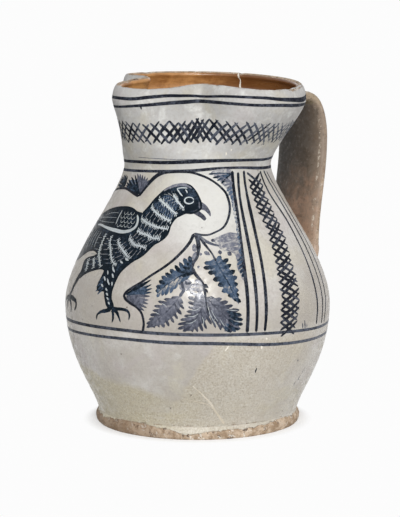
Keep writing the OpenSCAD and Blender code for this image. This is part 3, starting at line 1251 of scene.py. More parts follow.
@dataclass
class ThrownBody(Pottery):
    """Foot, wall, white coat and brown lining. Lengths are in mm and turns over the lip in degrees."""

    rest_r: float = 71.5
    foot_r: float = 72.75
    foot_edge_z: float = 4.0
    foot_flat_r: float = 40.0
    foot_axis_r: float = 0.05
    foot_steps: int = 9
    coat_gap: float = 0.02
    wall_gap: float = 0.03
    foot_wear: float = 0.62
    lip_wear: float = 0.46
    spot_wear: float = 0.32
    spot_angle: float = 122.0
    spot_spread: float = 17.0
    spot_h: float = 12.5
    spot_fade: float = 9.0
    foot_wear_h: float = 4.0
    lip_wear_h: float = 3.0
    crest_wear: float = 0.5
    wall_wear: float = 0.1
    lining_wear: float = 0.66
    coat_turns: Zone = (10.0, 86.0)
    wall_turns: Zone = (12.0, 168.0)
    lining_turns: Zone = (96.0, 172.0)
    waist_below: float = 20.0
    waist_above: float = 22.0
    lining_below: float = 12.0
    floor_shares: Zone = (0.94, 0.001)
    rough_h: float = 3.5
    run_z: float = 5.6
    run_fade: float = 4.0
    drip_drop: float = 4.6
    drip_angle: float = 49.0
    drip_spread: float = 12.0
    columns: int = 360
    belly_rows: int = 78
    waist_rows: int = 54
    collar_rows: int = 32
    wall_rows: int = 60
    lining_rows: int = 66
    floor_rows: int = 8
    lip_rows: int = 7
    wall_lip_rows: int = 11
    hidden_stride: int = 4
    nicks: Humps = (
        (22, 2.5, 0.7), (61, 3, 0.6), (88, 2, 0.8), (104, 3, 0.5), (-20, 3, 0.6), (-75, 2, 0.7))

    def grid(self, levels: Array) -> tuple[Array, Array]:
        """Angles and levels of a grid round the jug."""
        angles = np.arange(self.columns) * 360 / self.columns - 180
        return np.meshgrid(angles, levels)

    def shell(self, parts: Sequence[tuple[Array, Array]]) -> Film:
        """Closed film from runs of rows that follow each other round a section."""
        points = np.vstack([part[0] for part in parts])
        values = np.vstack([part[1] for part in parts])
        faces = ring_faces(points.shape[0], self.columns, True)
        return Film(points.reshape(-1, 3), faces, values.reshape(-1))

    def lip_run(self, turns: Array, extra: Array | float, worn: Array | float) -> tuple[Array, Array]:
        """Rows over the lip, with their wear.

        Args:
            turns: degrees over the lip, one for each row.
            extra: thickness of glaze over the clay, for each row or for all.
            worn: wear, for each row or for all.

        Returns:
            Points and wear of the rows.
        """
        angle, turn = self.grid(turns)
        thick, wear = (np.zeros((len(turns), self.columns)) + np.reshape(value, (-1, 1))
                       for value in (extra, worn))
        return self.form.lip(angle, turn, thick), wear

    @staticmethod
    def unworn(points: Array) -> tuple[Array, Array]:
        """Rows without wear."""
        return points, np.zeros(points.shape[:2])

    def coat(self) -> None:
        """White glaze, from the groove over the foot to the crest of the lip."""
        form = self.form
        low_waist, high_waist = form.waist_z - self.waist_below, form.waist_z + self.waist_above
        levels = np.concatenate([np.linspace(form.foot_h, low_waist, self.belly_rows)[:-1],
                                 np.linspace(low_waist, high_waist, self.waist_rows)[:-1],
                                 np.linspace(high_waist, form.rim_h, self.collar_rows)])
        angle, level = self.grid(levels)
        foot_wear = self.foot_wear * ease((form.foot_h + self.foot_wear_h - level) / self.foot_wear_h)
        lip_wear = self.lip_wear * ease((level - form.rim_h + self.lip_wear_h) / self.lip_wear_h)
        spot = bell((angle - self.spot_angle) / self.spot_spread)
        spot = spot * ease((level - form.rim_h + self.spot_h) / self.spot_fade)
        turns = np.linspace(*self.coat_turns, self.lip_rows)
        share = turns / self.coat_turns[1]
        thick = form.glaze_t * (1 - share**3) + self.coat_gap
        back_angle, back_level = self.grid(levels[::-self.hidden_stride])
        film = self.shell([
            (form.skin(angle, level), foot_wear + (lip_wear + self.spot_wear * spot)),
            self.lip_run(turns, thick, self.lip_wear + self.crest_wear * share),
            self.lip_run(turns[::-1], 0.0, 1.0),
            self.unworn(form.under(back_angle, back_level, form.glaze_t - self.coat_gap)),
        ])
        self.bench.place("tin_glaze_coat", film, self.finishes.tin, Slot.TIN,
                         ["belly_tin_glaze", "collar_tin_glaze"])

    def wall(self) -> None:
        """Clay wall between the coat and the lining, with its rounded lip."""
        form = self.form
        angle, level = self.grid(np.linspace(form.foot_h, form.rim_h, self.wall_rows))
        film = self.shell([
            self.unworn(form.under(angle, level, form.glaze_t + self.wall_gap)),
            self.lip_run(np.linspace(*self.wall_turns, self.wall_lip_rows), -self.wall_gap, self.wall_wear),
            self.unworn(form.under(angle, level, form.clay_depth(level) - self.wall_gap)[::-1]),
        ])
        self.bench.place("clay_wall", film, self.finishes.clay, Slot.CLAY, ["belly_wall", "neck_collar"])

    def lining(self) -> None:
        """Brown glaze, from the crest of the lip down over the floor."""
        form = self.form
        low = form.foot_h + form.lining_t
        middle = form.waist_z - self.lining_below
        levels = np.concatenate([np.linspace(form.rim_h, middle, 2 * self.lining_rows // 3)[:-1],
                                 np.linspace(middle, low, self.lining_rows // 3)])
        angle, level = self.grid(levels)
        inner = form.under(angle, level, form.lining_depth(level))
        outer = form.under(angle, level, form.clay_depth(level))[::-1]
        turns = np.linspace(*self.lining_turns, self.lip_rows)
        share = (180 - turns) / (180 - self.lining_turns[0])
        thick = form.lining_t * (1 - share**3) + self.coat_gap
        _, reach = self.grid(np.linspace(*self.floor_shares, self.floor_rows))
        edge = inner[-1][None] * reach[..., None]
        floor = edge.copy()
        floor[..., 2] = low
        bed = edge[::-1].copy()
        bed[..., 2] = form.foot_h + self.coat_gap
        film = self.shell([
            self.lip_run(turns, thick, self.lining_wear * share**2),
            *(self.unworn(points) for points in (inner, floor, bed, outer)),
            self.lip_run(turns[::-1], 0.0, 1.0),
        ])
        self.bench.place("lead_glaze_lining", film, self.finishes.lead, Slot.LEAD,
                         ["belly_lead_glaze", "collar_lead_glaze"])

    def foot(self) -> None:
        """Turned foot, uneven along its edge, with glaze that ran down to it."""
        form = self.form
        edge_z = self.foot_edge_z
        bends = np.radians(np.linspace(0, 90, self.foot_steps))
        under = np.stack([self.rest_r + (self.foot_r - self.rest_r) * np.sin(bends),
                          edge_z * (1 - np.cos(bends))], 1)
        rise = np.linspace(0, 1, self.foot_steps)[1:]
        over = np.stack([form.groove_r + (self.foot_r - form.groove_r) * (1 - ease(rise)),
                         edge_z + (form.foot_h - edge_z) * rise], 1)
        section = np.vstack([[(self.foot_axis_r, 0.0), (self.foot_flat_r, 0.0)], under, over,
                             [(self.foot_flat_r, form.foot_h), (self.foot_axis_r, form.foot_h)]])
        angle, row = self.grid(np.arange(len(section), dtype=float))
        reach, height = np.moveaxis(section[row.astype(int)], -1, 0)
        side = reach > self.foot_flat_r
        turn = np.radians(angle)
        rough = 0.14 * np.sin(7 * turn + 1) + 0.1 * np.sin(19 * turn) + 0.08 * np.sin(43 * turn + row)
        edge = bell((height - edge_z) / self.rough_h) * side
        radius = reach + edge * (rough - bumps(angle, self.nicks))
        spin = np.radians(180 + angle)
        points = np.stack([radius * np.cos(spin), radius * np.sin(spin), height], axis=-1)
        low_edge = self.run_z + 1.1 * np.sin(3 * turn + 0.5) + 0.9 * np.sin(8 * turn)
        low_edge = low_edge - self.drip_drop * bell((angle - self.drip_angle) / self.drip_spread)
        film = self.shell([(points, ease((height - low_edge) / self.run_fade) * side)])
        self.bench.place("turned_foot", film, self.finishes.clay, Slot.CLAY, ["foot_disc"])

    def build(self) -> None:
        """Builds the foot, the wall and both glazes."""
        self.foot()
        self.wall()
        self.lining()
        self.coat()


# Handle


@dataclass
class Handle(Pottery):
    """Strap handle with the lutes that join it to the collar and the belly."""

    width: float = 49.0
    thick: float = 8.0
    out: float = 27.0
    drop: float = 10.0
    bend_drop: float = 28.0
    low_z: float = 120.0
    low_gap: float = 4.8
    upper_len: float = 7.0
    lower_len: float = 28.0
    tip_t: float = 1.2
    squareness: float = 3.2
    start_share: float = 0.7
    bend_high_share: float = 0.48
    bend_low_share: float = 0.33
    upper_seat: float = 0.7
    lower_seat: float = 0.6
    edge_wear: float = 0.52
    edge_power: int = 20
    crease: float = 80.0
    strap_sway: float = 0.5
    flare_wide: float = 0.14
    flare_high: float = 0.9
    tongue_swell: float = 0.12
    tongue_taper: float = 0.45
    press_speed: float = 1.4
    around: int = 56
    bend_steps: int = 26
    fall_steps: int = 34
    upper_steps: int = 10
    lower_steps: int = 22
    print_sizes: Floats = (0.04, 0.4, 0.75)

    @cached_property
    def section(self) -> Array:
        """Rounded section, as shares of half the width and half the thickness."""
        turn = 2 * np.pi * (np.arange(self.around) + 0.5) / self.around
        power = 2 / self.squareness
        return np.stack([np.sign(np.cos(turn)) * np.abs(np.cos(turn)) ** power,
                         np.sign(np.sin(turn)) * np.abs(np.sin(turn)) ** power], axis=1)

    @property
    def top_z(self) -> float:
        """Height of the strap's upper end."""
        return self.form.rim_h - self.drop

    def strap_rings(self) -> Array:
        """Rings along the strap, from the collar to the belly.

        Returns:
            Rings of points in mm.
        """
        form = self.form
        start = (form.radius(self.top_z) + self.upper_len, self.top_z)
        bend = (form.collar_r + self.out - self.thick / 2, self.top_z - self.bend_drop)
        end = (form.radius(self.low_z) + self.low_gap + self.thick / 2, self.low_z)
        hold = self.bend_low_share * (bend[1] - end[1])
        upper = [start, (start[0] + self.start_share * (bend[0] - start[0]), start[1]),
                 (bend[0], bend[1] + self.bend_high_share * self.bend_drop), bend]
        lower = [bend, (bend[0], bend[1] - hold), (end[0], end[1] + hold), end]
        path = np.vstack([bezier(upper, np.linspace(0, 1, self.bend_steps))[:-1],
                          bezier(lower, np.linspace(0, 1, self.fall_steps))])
        along = unit(np.gradient(path, axis=0))
        along[0] = (1, 0)
        along[-1] = (0, -1)
        half_w = self.width / 2 + form.glaze_t
        half_t = self.thick / 2 + form.glaze_t
        share = np.linspace(0, 1, len(path))
        sway = self.strap_sway * np.sin(7 * share + 0.4) * np.sin(np.pi * share)
        rings = np.zeros((len(path), self.around, 3))
        lean = np.stack([-along[:, 1], along[:, 0]], axis=1)
        reach = self.section[:, 1] * half_t
        rings[..., 0] = path[:, None, 0] + lean[:, None, 0] * reach[None]
        rings[..., 1] = self.section[None, :, 0] * half_w + sway[:, None]
        rings[..., 2] = path[:, None, 1] + lean[:, None, 1] * reach[None]
        return rings

    def upper_rings(self, end: Array) -> Array:
        """Rings of the print on the collar, from its middle, and on to the strap's first ring.

        Args:
            end: the strap's first ring.

        Returns:
            Rings of points in mm.
        """
        form = self.form
        rings = []
        steps = [(size, 0.0) for size in self.print_sizes]
        steps += [(1.0, share) for share in np.linspace(0, 1, self.upper_steps)]
        for size, share in steps:
            flare = (1 - share) ** 2
            y = size * end[:, 1] * (1 + self.flare_wide * flare)
            z = self.top_z + size * (end[:, 2] - self.top_z) * (1 + self.flare_high * flare)
            angle = np.degrees(np.arctan2(y, form.collar_r)) - 180
            level = z - form.lift(angle, z - form.lift(angle, z))
            face = np.sqrt(form.radius(level) ** 2 - y * y) - self.upper_seat
            rings.append(np.stack([face + (end[:, 0] - face) * share, y, z], axis=1))
        return np.array(rings)

    def lower_rings(self, start: Array) -> Array:
        """Rings from the strap's last ring down the tongue on the belly.

        Args:
            start: the strap's last ring.

        Returns:
            Rings of points in mm.
        """
        rings = []
        for share in np.linspace(0, 1, self.lower_steps):
            z = self.low_z - share * self.lower_len
            width = 1 + self.tongue_swell * math.sin(math.pi * share) - self.tongue_taper * share**3
            press = ease(self.press_speed * share)
            y = start[:, 1] * width
            face = np.sqrt(self.form.radius(z) ** 2 - y * y)
            thick = self.thick + (self.tip_t - self.thick) * share
            pressed = face - self.lower_seat + (thick + self.lower_seat) * (self.section[:, 1] + 1) / 2
            free = start[:, 0]
            x = np.maximum(free + (pressed - free) * press, face - self.lower_seat)
            rings.append(np.stack([x, y, np.full_like(y, z)], axis=1))
        return np.array(rings)

    def build(self) -> None:
        """Builds the strap and the two lutes, whose end rings are the strap's own."""
        strap = self.strap_rings()
        upper = self.upper_rings(strap[0])
        lower = self.lower_rings(strap[-1])
        worn = self.edge_wear * np.abs(self.section[:, 0]) ** self.edge_power
        strap_start = len(upper) - 1
        lower_start = strap_start + len(strap) - 1
        parts = (("strap_handle", strap, strap_start, Slot.HANDLE, ["handle_strap", "handle_glaze"]),
                 ("upper_lute", upper, 0, Slot.CLAY, ["handle_upper_lute"]),
                 ("lower_lute", lower, lower_start, Slot.CLAY, ["handle_lower_lute"]))
        whole = np.vstack([upper[:-1], strap, lower[1:]])
        steps = np.gradient(whole, axis=0)
        rounds = np.roll(whole, -1, axis=1) - np.roll(whole, 1, axis=1)
        normals = unit(np.cross(rounds, steps))
        for name, rings, start, slot, nodes in parts:
            film = tube(rings, np.repeat(worn[None], len(rings), 0))
            piece = self.bench.place(name, film, self.finishes.handle, slot, nodes, self.crease)
            given = normals[start:start + len(rings)].reshape(-1, 3)
            piece.data.normals_split_custom_set_from_vertices(given.tolist())


# Painting


class Lift(Enum):
    """Heights of the layers of colour over the glaze, in mm."""

    WASH = 0.04
    FILL = 0.05
    STROKE = 0.09
    OVER = 0.13


@dataclass
class Painting:
    """What every part of the decoration is painted with."""

    brush: Brush
    bench: Bench
    finishes: Finishes
    paint: Material

    def lines(self, name: str, strokes: Iterable[Stroke], lift: Lift = Lift.STROKE,
              material: Material | None = None) -> None:
        """Paints strokes as one piece."""
        film = self.brush.lines(strokes, lift.value)
        self.bench.place(name, film, material or self.paint, Slot.TIN)

    def washes(self, name: str, outlines: Iterable[tuple[Line, float]], lift: Lift = Lift.WASH,
               material: Material | None = None) -> None:
        """Paints filled outlines as one piece."""
        film = Film.joined([self.brush.wash(outline, load, lift.value) for outline, load in outlines])
        self.bench.place(name, film, material or self.paint, Slot.TIN)


@dataclass
class Bands(Painting):
    """Lines round the jug and the hatched bands."""

    rim_high: Line = (
        (-165, 229.5), (-120, 227.5), (-80, 226.5), (-40, 226), (-20, 230), (0, 232), (10, 232.4),
        (20, 233.8), (30, 234.1), (40, 232.7), (60, 231), (70, 232.5), (80, 233.5), (90, 233.8),
        (100, 232.8), (110, 231.8), (120, 230.6), (140, 230.6), (158, 230.2))
    rim_low: Line = (
        (-162, 224.5), (-120, 222.5), (-80, 221), (-40, 220), (-20, 223.5), (0, 226), (15, 228), (30, 229),
        (45, 228), (60, 227.6), (75, 228.1), (82, 228.4), (90, 228.8), (100, 228.7), (110, 227.8),
        (130, 226.2), (156, 226))
    waist_high: Line = (
        (-180.4, 187.2), (-120, 186), (-70, 184), (-30, 184.5), (0, 185.5), (30, 186), (60, 187),
        (80, 187.5), (90, 187.5), (110, 187), (140, 187.5), (180.4, 187))
    waist_low: Line = (
        (-180.4, 181), (-120, 180), (-70, 178), (-20, 178.5), (0, 179), (25, 179.7), (50, 180.5), (70, 182),
        (90, 182), (105, 181), (140, 180.5), (180.4, 180.8))
    belly_high: Line = (
        (-180.4, 73.2), (-120, 74), (-70, 74), (-30, 74.5), (0, 76), (15, 76.5), (35, 76), (55, 75.5),
        (70, 75), (90, 74), (110, 72.5), (140, 72), (180.4, 72.8))
    belly_low: Line = (
        (-180.4, 65.8), (-120, 67), (-70, 68), (-20, 68), (0, 69.5), (20, 70.5), (40, 70), (60, 69.5),
        (70, 68.5), (80, 67), (90, 66), (110, 65), (140, 65), (180.4, 66.2))
    high_loads: Floats = (
        0.74, 0.74, 0.75, 0.76, 0.78, 0.78, 0.78, 0.76, 0.75, 0.74, 0.5, 0.62, 0.74)
    low_loads: Floats = (
        0.7, 0.7, 0.72, 0.74, 0.74, 0.74, 0.72, 0.7, 0.72, 0.7, 0.46, 0.6, 0.7)
    first_lines: Lines = (
        ((79, 180), (77, 160), (75, 140), (73.5, 120), (73, 100), (72.3, 76)),
        ((84, 179), (80.5, 160), (78.8, 140), (77.8, 120), (77, 100), (76.3, 76)),
        ((89.5, 180), (86.5, 160), (84.3, 140), (82.8, 120), (81.5, 100), (80.3, 76)))
    second_lines: Lines = (
        ((107.5, 179), (109, 165), (114.5, 145), (115, 130), (113.5, 100), (112, 75)),
        ((113, 179), (118, 165), (121.5, 135), (120, 105), (117.5, 74)),
        ((118, 178), (124, 165), (127.5, 135), (125.5, 105), (121, 74)))
    band_left: Line = (
        (92, 178), (91, 160), (92.5, 140), (90.5, 120), (89, 100), (87.5, 80), (88.5, 74))
    band_right: Line = (
        (106, 178), (105, 160), (105.5, 140), (102, 120), (100.3, 100), (97.4, 80), (96, 74))
    side_marks: Drawn = (
        (((78.3, 51.2), (78, 49), (77.9, 47)), (0.4, 0.8, 0.4), 0.8),
        (((101.8, 52.4), (102, 51.7), (102.1, 51)), (0.5, 0.9, 0.5), 0.6),
        (((100.7, 78.4), (101.1, 76), (101.4, 73.8)), (0.4, 0.9, 0.4), 0.5),
        (((102.2, 80), (102.6, 77), (103, 73.4)), (0.4, 1.0, 0.4), 0.56),
        (((103.8, 77.2), (104.1, 75.6), (104.3, 74)), (0.3, 0.8, 0.3), 0.44),
        (((110.5, 44), (109.8, 42), (109.6, 40)), (0.4, 0.8, 0.4), 0.26),
        (((108.8, 39.4), (108.2, 37.4), (108.6, 35.6)), (0.4, 0.9, 0.4), 0.3),
        (((106.6, 35.2), (106.2, 33.8), (106.4, 32.4)), (0.3, 0.7, 0.3), 0.24))
    neck_ends: float = 150.0
    neck_lean: float = 11.5
    neck_top: float = 215.4
    neck_foot: float = 199.8
    neck_gap: float = 4.8
    side_foot: float = 76.0
    side_top: float = 177.0
    side_rise: float = 9.4
    side_gap: float = 4.4
    neck_load: float = 0.6
    neck_dab: float = 0.1
    neck_bold: float = 1.25
    neck_dark: Humps = ((47, 30, 0.28), (-4, 13, 0.2))
    neck_thick: Humps = ((50, 26, 0.35),)
    neck_loose: Humps = ((14, 20, 1.4),)
    # Strokes past pale_past grow paler: a painted highlight towards the collar's right edge
    neck_pale: float = 0.14
    pale_past: float = 85.0
    pale_run: float = 25.0
    side_load: float = 0.86
    side_dab: float = 0.07
    side_widths: Floats = (1.0, 1.6, 1.5, 0.8)

    def neck_hatch(self) -> list[Stroke]:
        """Crossed strokes round the neck, boldest on the side of the camera.

        Returns:
            The strokes, in the order of painting.
        """
        strokes = []
        hand = self.brush.hand
        angle = -self.neck_ends
        while angle < self.neck_ends:
            for lean in (self.neck_lean, -self.neck_lean):
                low = angle + hand.normal(0, 0.3) - lean / 2
                high = low + lean + hand.normal(0, 0.4)
                top = self.neck_top + hand.normal(0, 0.7)
                foot = self.neck_foot + hand.normal(0, 0.8)
                bow = hand.normal(0, 0.2)
                places = ((low, foot), ((low + high) / 2 + bow, (top + foot) / 2), (high, top))
                load = self.neck_load + bumps(angle, self.neck_dark) + hand.normal(0, self.neck_dab)
                # Painted highlight: paler strokes towards the collar's right edge
                load -= self.neck_pale * ease((angle - self.pale_past) / self.pale_run)
                bold = self.neck_bold + bumps(angle, self.neck_thick)
                widths = (0.7 * bold, bold, bold, 0.6 * bold)
                strokes.append(Stroke(places, widths, (load, load + 0.05, load - 0.1)))
            angle += self.neck_gap + bumps(angle, self.neck_loose) + hand.normal(0, 0.25)
        return strokes

    def side_hatch(self) -> list[Stroke]:
        """Crossed strokes up the side bands of both sides.

        Returns:
            The strokes, in the order of painting.
        """
        hand = self.brush.hand
        left, right = ([(level, angle) for angle, level in edge[::-1]]
                       for edge in (self.band_left, self.band_right))
        strokes = []
        level = self.side_foot
        while level < self.side_top:
            for rise in (self.side_rise, -self.side_rise):
                start = level + hand.normal(0, 0.3) - rise / 2
                end = start + rise + hand.normal(0, 0.4)
                a = graded(start, left) + hand.normal(0, 0.3)
                b = graded(end, right) + hand.normal(0, 0.3)
                places = ((a, start), ((a + b) / 2, (start + end) / 2 + hand.normal(0, 0.2)), (b, end))
                load = self.side_load + hand.normal(0, self.side_dab)
                both = (places, mirrored(places))
                strokes += alike(both, self.side_widths, (load, load, load - 0.1))
            level += self.side_gap + hand.normal(0, 0.15)
        return strokes

    def build(self) -> None:
        """Paints all lines and hatched bands."""
        self.lines("rim_lines", [
            Stroke(self.rim_high, (1.3, 1.5, 1.2, 1.7, 1.3, 1.8, 1.3, 1.7, 2.5, 2.2), (0.88, 0.94)),
            Stroke(self.rim_low, (1.2, 1.3, 1.1, 1.6, 1.2, 1.7, 1.3, 1.8, 1.2), (0.84, 0.9, 0.78, 0.88)),
            Stroke(((15, 228.3), (15.3, 226.5), (15.2, 225)), (1.4, 1.1, 0.4))])
        self.lines("neck_hatch_band", self.neck_hatch())
        self.lines("waist_lines", [
            Stroke(self.waist_high, (1.7, 1.6, 1.7, 1.8), (0.84, 0.8)),
            Stroke(self.waist_low, (1.3, 1.2, 1.5, 1.6, 1.3), (0.76, 0.82)),
            Stroke(((2, 189), (20, 188.8), (38, 188.2), (52, 188.2)), (0.2, 0.35, 0.2), (0.5,))])
        self.lines("belly_lines", [
            Stroke(self.belly_high, (1.5, 1.6, 1.7, 1.5), self.high_loads),
            Stroke(self.belly_low, (1.3, 1.2, 1.5, 1.3), self.low_loads)])
        sides = alike(self.first_lines, (1.5, 1.8, 1.7, 1.9, 1.5), (0.86, 0.8, 0.88))
        sides += alike(self.second_lines, (1.3, 1.6, 1.5, 1.3), (0.85, 0.75, 0.9))
        sides += [Stroke(mirrored(stroke.places), stroke.widths, stroke.loads) for stroke in sides]
        self.lines("side_lines", sides + drawn(self.side_marks))
        self.lines("side_hatch_bands", self.side_hatch())


@dataclass
class Bird(Painting):
    """Striding bird with a barred neck."""

    outline: Line = (
        (17, 151.5), (20, 156), (23, 161), (26, 164.5), (30, 168), (35, 170.2), (40, 171.3), (44, 171.2),
        (47.5, 169.8), (50, 167.2), (53, 162), (54, 159), (54, 156), (52, 154.3), (48, 152.8), (45, 153),
        (42, 151.5), (39, 149.5), (37.5, 147), (36.5, 144), (36, 140), (34.5, 137), (32, 134.5),
        (29.5, 132.5), (27.5, 129.5), (26, 127), (23.5, 124), (20.5, 121.5), (18, 118.5), (15, 113.5),
        (13.3, 106), (12.8, 101), (13.3, 96), (14.8, 91), (13.5, 89.5), (12, 91), (10, 96), (8.3, 101),
        (6, 100.7), (4, 101.2), (3.7, 103.5), (4.5, 108), (5, 114), (2, 114.6), (0, 114), (-5, 112),
        (-10, 109), (-14, 105.8), (-15.8, 106.5), (-14.5, 110), (-15.5, 117), (-12, 119.5), (-7, 121.3),
        (-5, 123), (-8, 124.6), (-15, 124), (-20, 121.2), (-26, 117.2), (-34, 114), (-42, 110.5),
        (-47, 110), (-46, 114), (-42, 121), (-37, 129), (-36, 134), (-40, 138), (-36, 144), (-28, 147),
        (-22, 149.5), (-16, 151.6), (-10, 153.2), (-3, 154.3), (3, 154.7), (8, 154), (13, 152))
    upper_beak: Line = (
        (53, 160.5), (55.5, 159.3), (57.3, 157.8), (58.8, 155.5), (59.8, 152.6), (59.5, 150.6),
        (58.3, 152.2), (56.2, 154.4), (53, 155.6))
    lower_beak: Line = (
        (51.5, 155), (54, 153.2), (56, 151.2), (57, 149.2), (55.8, 148), (54, 149.6), (51, 151.6),
        (49, 153.2))
    crown: Line = ((31, 166), (37, 168.5), (43, 168.5), (49, 164), (51, 158))
    cheek: Line = ((41, 162), (43, 157), (48, 155.5), (52, 156.5))
    # Paler line along the top of the head: painted sheen
    head_sheen: Line = ((28, 166.6), (33, 169.4), (39, 170.9), (44, 170.6), (48, 168.6))
    neck_bars: Lines = (
        ((35.8, 164.6), (38.4, 161), (41, 158.2), (43.6, 155.8)),
        ((26, 161.5), (32, 157.5), (36, 154.5), (39.5, 152)),
        ((22, 156), (26, 152.8), (30, 150.5), (34, 148.5), (36.5, 147.5)),
        ((17.5, 148.5), (21, 146.5), (25, 144.8), (29, 143.5), (35.5, 142.5)),
        ((17.5, 141), (20, 139.3), (24, 138.3), (28, 136.5), (32, 136.5)),
        ((14, 136), (16, 133.5), (19, 131.5), (22, 131), (25.5, 130)))
    body_bars: Lines = (
        ((6.5, 134), (8.5, 131), (12, 128), (16, 124.5), (18, 123)),
        ((0, 135.5), (1.5, 131), (4, 127), (6.5, 122.5), (9, 119.3), (11.5, 118)),
        ((-6, 136), (-5.5, 130), (-4.5, 124.5), (-1.5, 120), (1.5, 115.5)),
        ((-7, 120), (-5, 117), (-4, 114)), ((-12, 118.5), (-10.5, 115), (-9.5, 111)))
    head_marks: Lines = (
        ((37.5, 168.5), (41, 169), (45, 168.8)), ((37.5, 168.5), (40, 165.5), (42, 163.5)),
        ((43.5, 168), (44.5, 166.8), (45, 165.5)))
    patches: Lines = (
        ((28, 162.5), (32, 164), (36, 161.5), (40, 157), (38, 154), (33, 158)),
        ((23.5, 157.5), (26, 160), (32, 156), (38, 151.5), (36.5, 149), (31, 152), (26, 155)))
    flecks: Lines = (
        ((9.5, 117), (10.5, 115), (12, 113.2)), ((8.5, 109), (9.5, 107), (11, 104.8)),
        ((6, 110), (7, 108.5), (7.8, 107)), ((5.5, 104.8), (6.5, 104), (7.5, 103)),
        ((9.8, 99.6), (10.6, 99), (11.4, 98)), ((10.6, 96.8), (11.3, 96.2), (12, 95.2)),
        ((11.8, 94), (12.4, 93.4), (13, 92.4)), ((15.5, 123), (16.5, 122), (18, 121.4)),
        ((13, 121), (14, 120), (15.2, 119.4)), ((10.6, 112.4), (11.4, 110.8), (12.2, 109.6)),
        ((7.2, 114), (7.8, 112.6), (8.2, 111.2)), ((11.8, 107.2), (12.2, 105.8), (12.4, 104.4)),
        ((9, 102.8), (9.6, 101.8), (10.4, 101)))
    fringe: Lines = (
        ((6.5, 110), (4.8, 107.4), (3.2, 105.4)), ((6.5, 107), (4.4, 104.2), (2.8, 102.4)),
        ((7, 104), (4.8, 101.2), (3, 99.6)), ((7.6, 102.4), (6, 99.8), (4.6, 97.8)))
    nape: Line = ((25, 163.5), (29, 167), (34, 169.5), (40, 160))
    breast: Line = ((6, 130), (12, 124), (17, 120.5), (22, 124))
    rump: Line = ((-16, 135), (-15, 130), (-14, 125), (-13, 119), (-11, 112))
    covert: Line = ((-1.4, 1.2), (-1.1, 0.1), (0, -0.7), (1.1, 0.1), (1.4, 1.2))
    eye_place: Point = (46.5, 160.9)
    eye_reach: Point = (3.0, 2.1)
    tooth_step: float = 1.5
    tooth_slip: float = 0.15
    tooth_least: float = 0.9
    tooth_more: float = 1.6
    tooth_widths: Triple = (0.55, 0.5, 0.3)
    neck_tooth: Point = (0.12, 1.0)
    patch_angles: Triple = (25.5, 39.5, 1.5)
    wing_edge: Line = (
        (13.5, 150.5), (15.4, 147), (15.6, 143.5), (13.5, 140.8), (10, 139.4), (0, 139.5), (-10, 140.4),
        (-18, 141), (-24, 140.6))
    claws: Sequence[tuple[Line, Floats]] = (
        (((14, 90), (12, 88.5), (8, 86.6), (6.2, 84.6), (5.5, 81)), (2.8, 2.5, 2, 1.5, 0.8)),
        (((14.5, 89.5), (15.2, 86), (15.2, 84), (14.5, 80.5)), (2.6, 2, 1.5, 0.8)),
        (((15, 89.5), (17, 88), (18, 85.5), (19, 81.5)), (2.6, 2.2, 1.6, 0.8)),
        (((14.5, 90), (17, 90.2), (20, 90.3), (22.3, 89.5), (23.3, 87), (23, 83.5)),
         (2.8, 2.3, 2, 1.8, 1.4, 0.8)),
        (((-14.5, 107), (-17, 101), (-19, 95), (-21, 91)), (3, 2.2, 1.7, 2)),
        (((-21, 91), (-17, 91.5), (-14, 91), (-11.5, 90), (-10.8, 87), (-12.5, 83.5)),
         (2, 1.8, 1.7, 1.6, 1.3, 0.7)),
        (((-21, 91), (-18, 88.5), (-16.5, 84), (-17.5, 81)), (2, 1.6, 1.3, 0.7)),
        (((-21, 91), (-23, 87), (-22.5, 82)), (2, 1.5, 0.7)),
        (((-21, 91), (-26, 89), (-29, 86), (-29.5, 82)), (2, 1.6, 1.3, 0.7)))

    def bar_teeth(self) -> list[Stroke]:
        """Fine pale strokes on both sides of the bars, which leave their edges ragged.

        Returns:
            The strokes, in the order of painting.
        """
        strokes = []
        hand = self.brush.hand
        for bar in (*self.neck_bars, *self.body_bars):
            path = smooth_line(bar, self.tooth_step)
            heading = unit(np.gradient(path * PLACE_MM, axis=0))
            for place, way in zip(path, heading):
                across = self.neck_tooth if bar in self.neck_bars else (-way[1] / DEGREE_MM, way[0])
                for side in (-1, 1):
                    start = place + hand.normal(0, self.tooth_slip, 2)
                    long = self.tooth_least + self.tooth_more * hand.random()
                    end = start + side * np.array(across) * long
                    strokes.append(Stroke(straight(start, end), self.tooth_widths))
        return strokes

    def patch_lines(self) -> list[Stroke]:
        """Dark upright strokes over the blue patches.

        Returns:
            The strokes, in the order of painting.
        """
        strokes = []
        hand = self.brush.hand
        for high, low in zip(self.neck_bars[:2], self.neck_bars[1:3]):
            for angle in np.arange(*self.patch_angles):
                upper = graded(angle + 1, high) - 0.8 * hand.random()
                lower = graded(angle, low) + 0.4 + 0.8 * hand.random()
                places = ((angle + 0.4, upper), (angle + 0.2, (upper + lower) / 2), (angle, lower))
                strokes.append(Stroke(places, (0.3, 0.55, 0.3), (0.95,)))
        return strokes

    def scratches(self) -> list[Stroke]:
        """Fine pale lines from each bar towards the next.

        Returns:
            The strokes, in the order of painting.
        """
        strokes = []
        hand = self.brush.hand
        neck = [self.nape, *self.neck_bars, self.breast]
        body = [self.breast, *self.body_bars[:3], self.rump]
        for high, low in (*zip(neck, neck[1:]), *zip(body, body[1:])):
            upper = smooth_line(high, 0.6)
            lower = smooth_line(low, 0.6)
            for share in np.linspace(0.1, 0.9, 6):
                a = upper[int(share * (len(upper) - 1))]
                b = lower[int(share * (len(lower) - 1))]
                start = a + (b - a) * (0.1 + 0.2 * hand.random())
                end = a + (b - a) * (0.6 + 0.3 * hand.random())
                strokes.append(Stroke(straight(start, end), (0.2, 0.3, 0.2), (0.3,)))
        return strokes

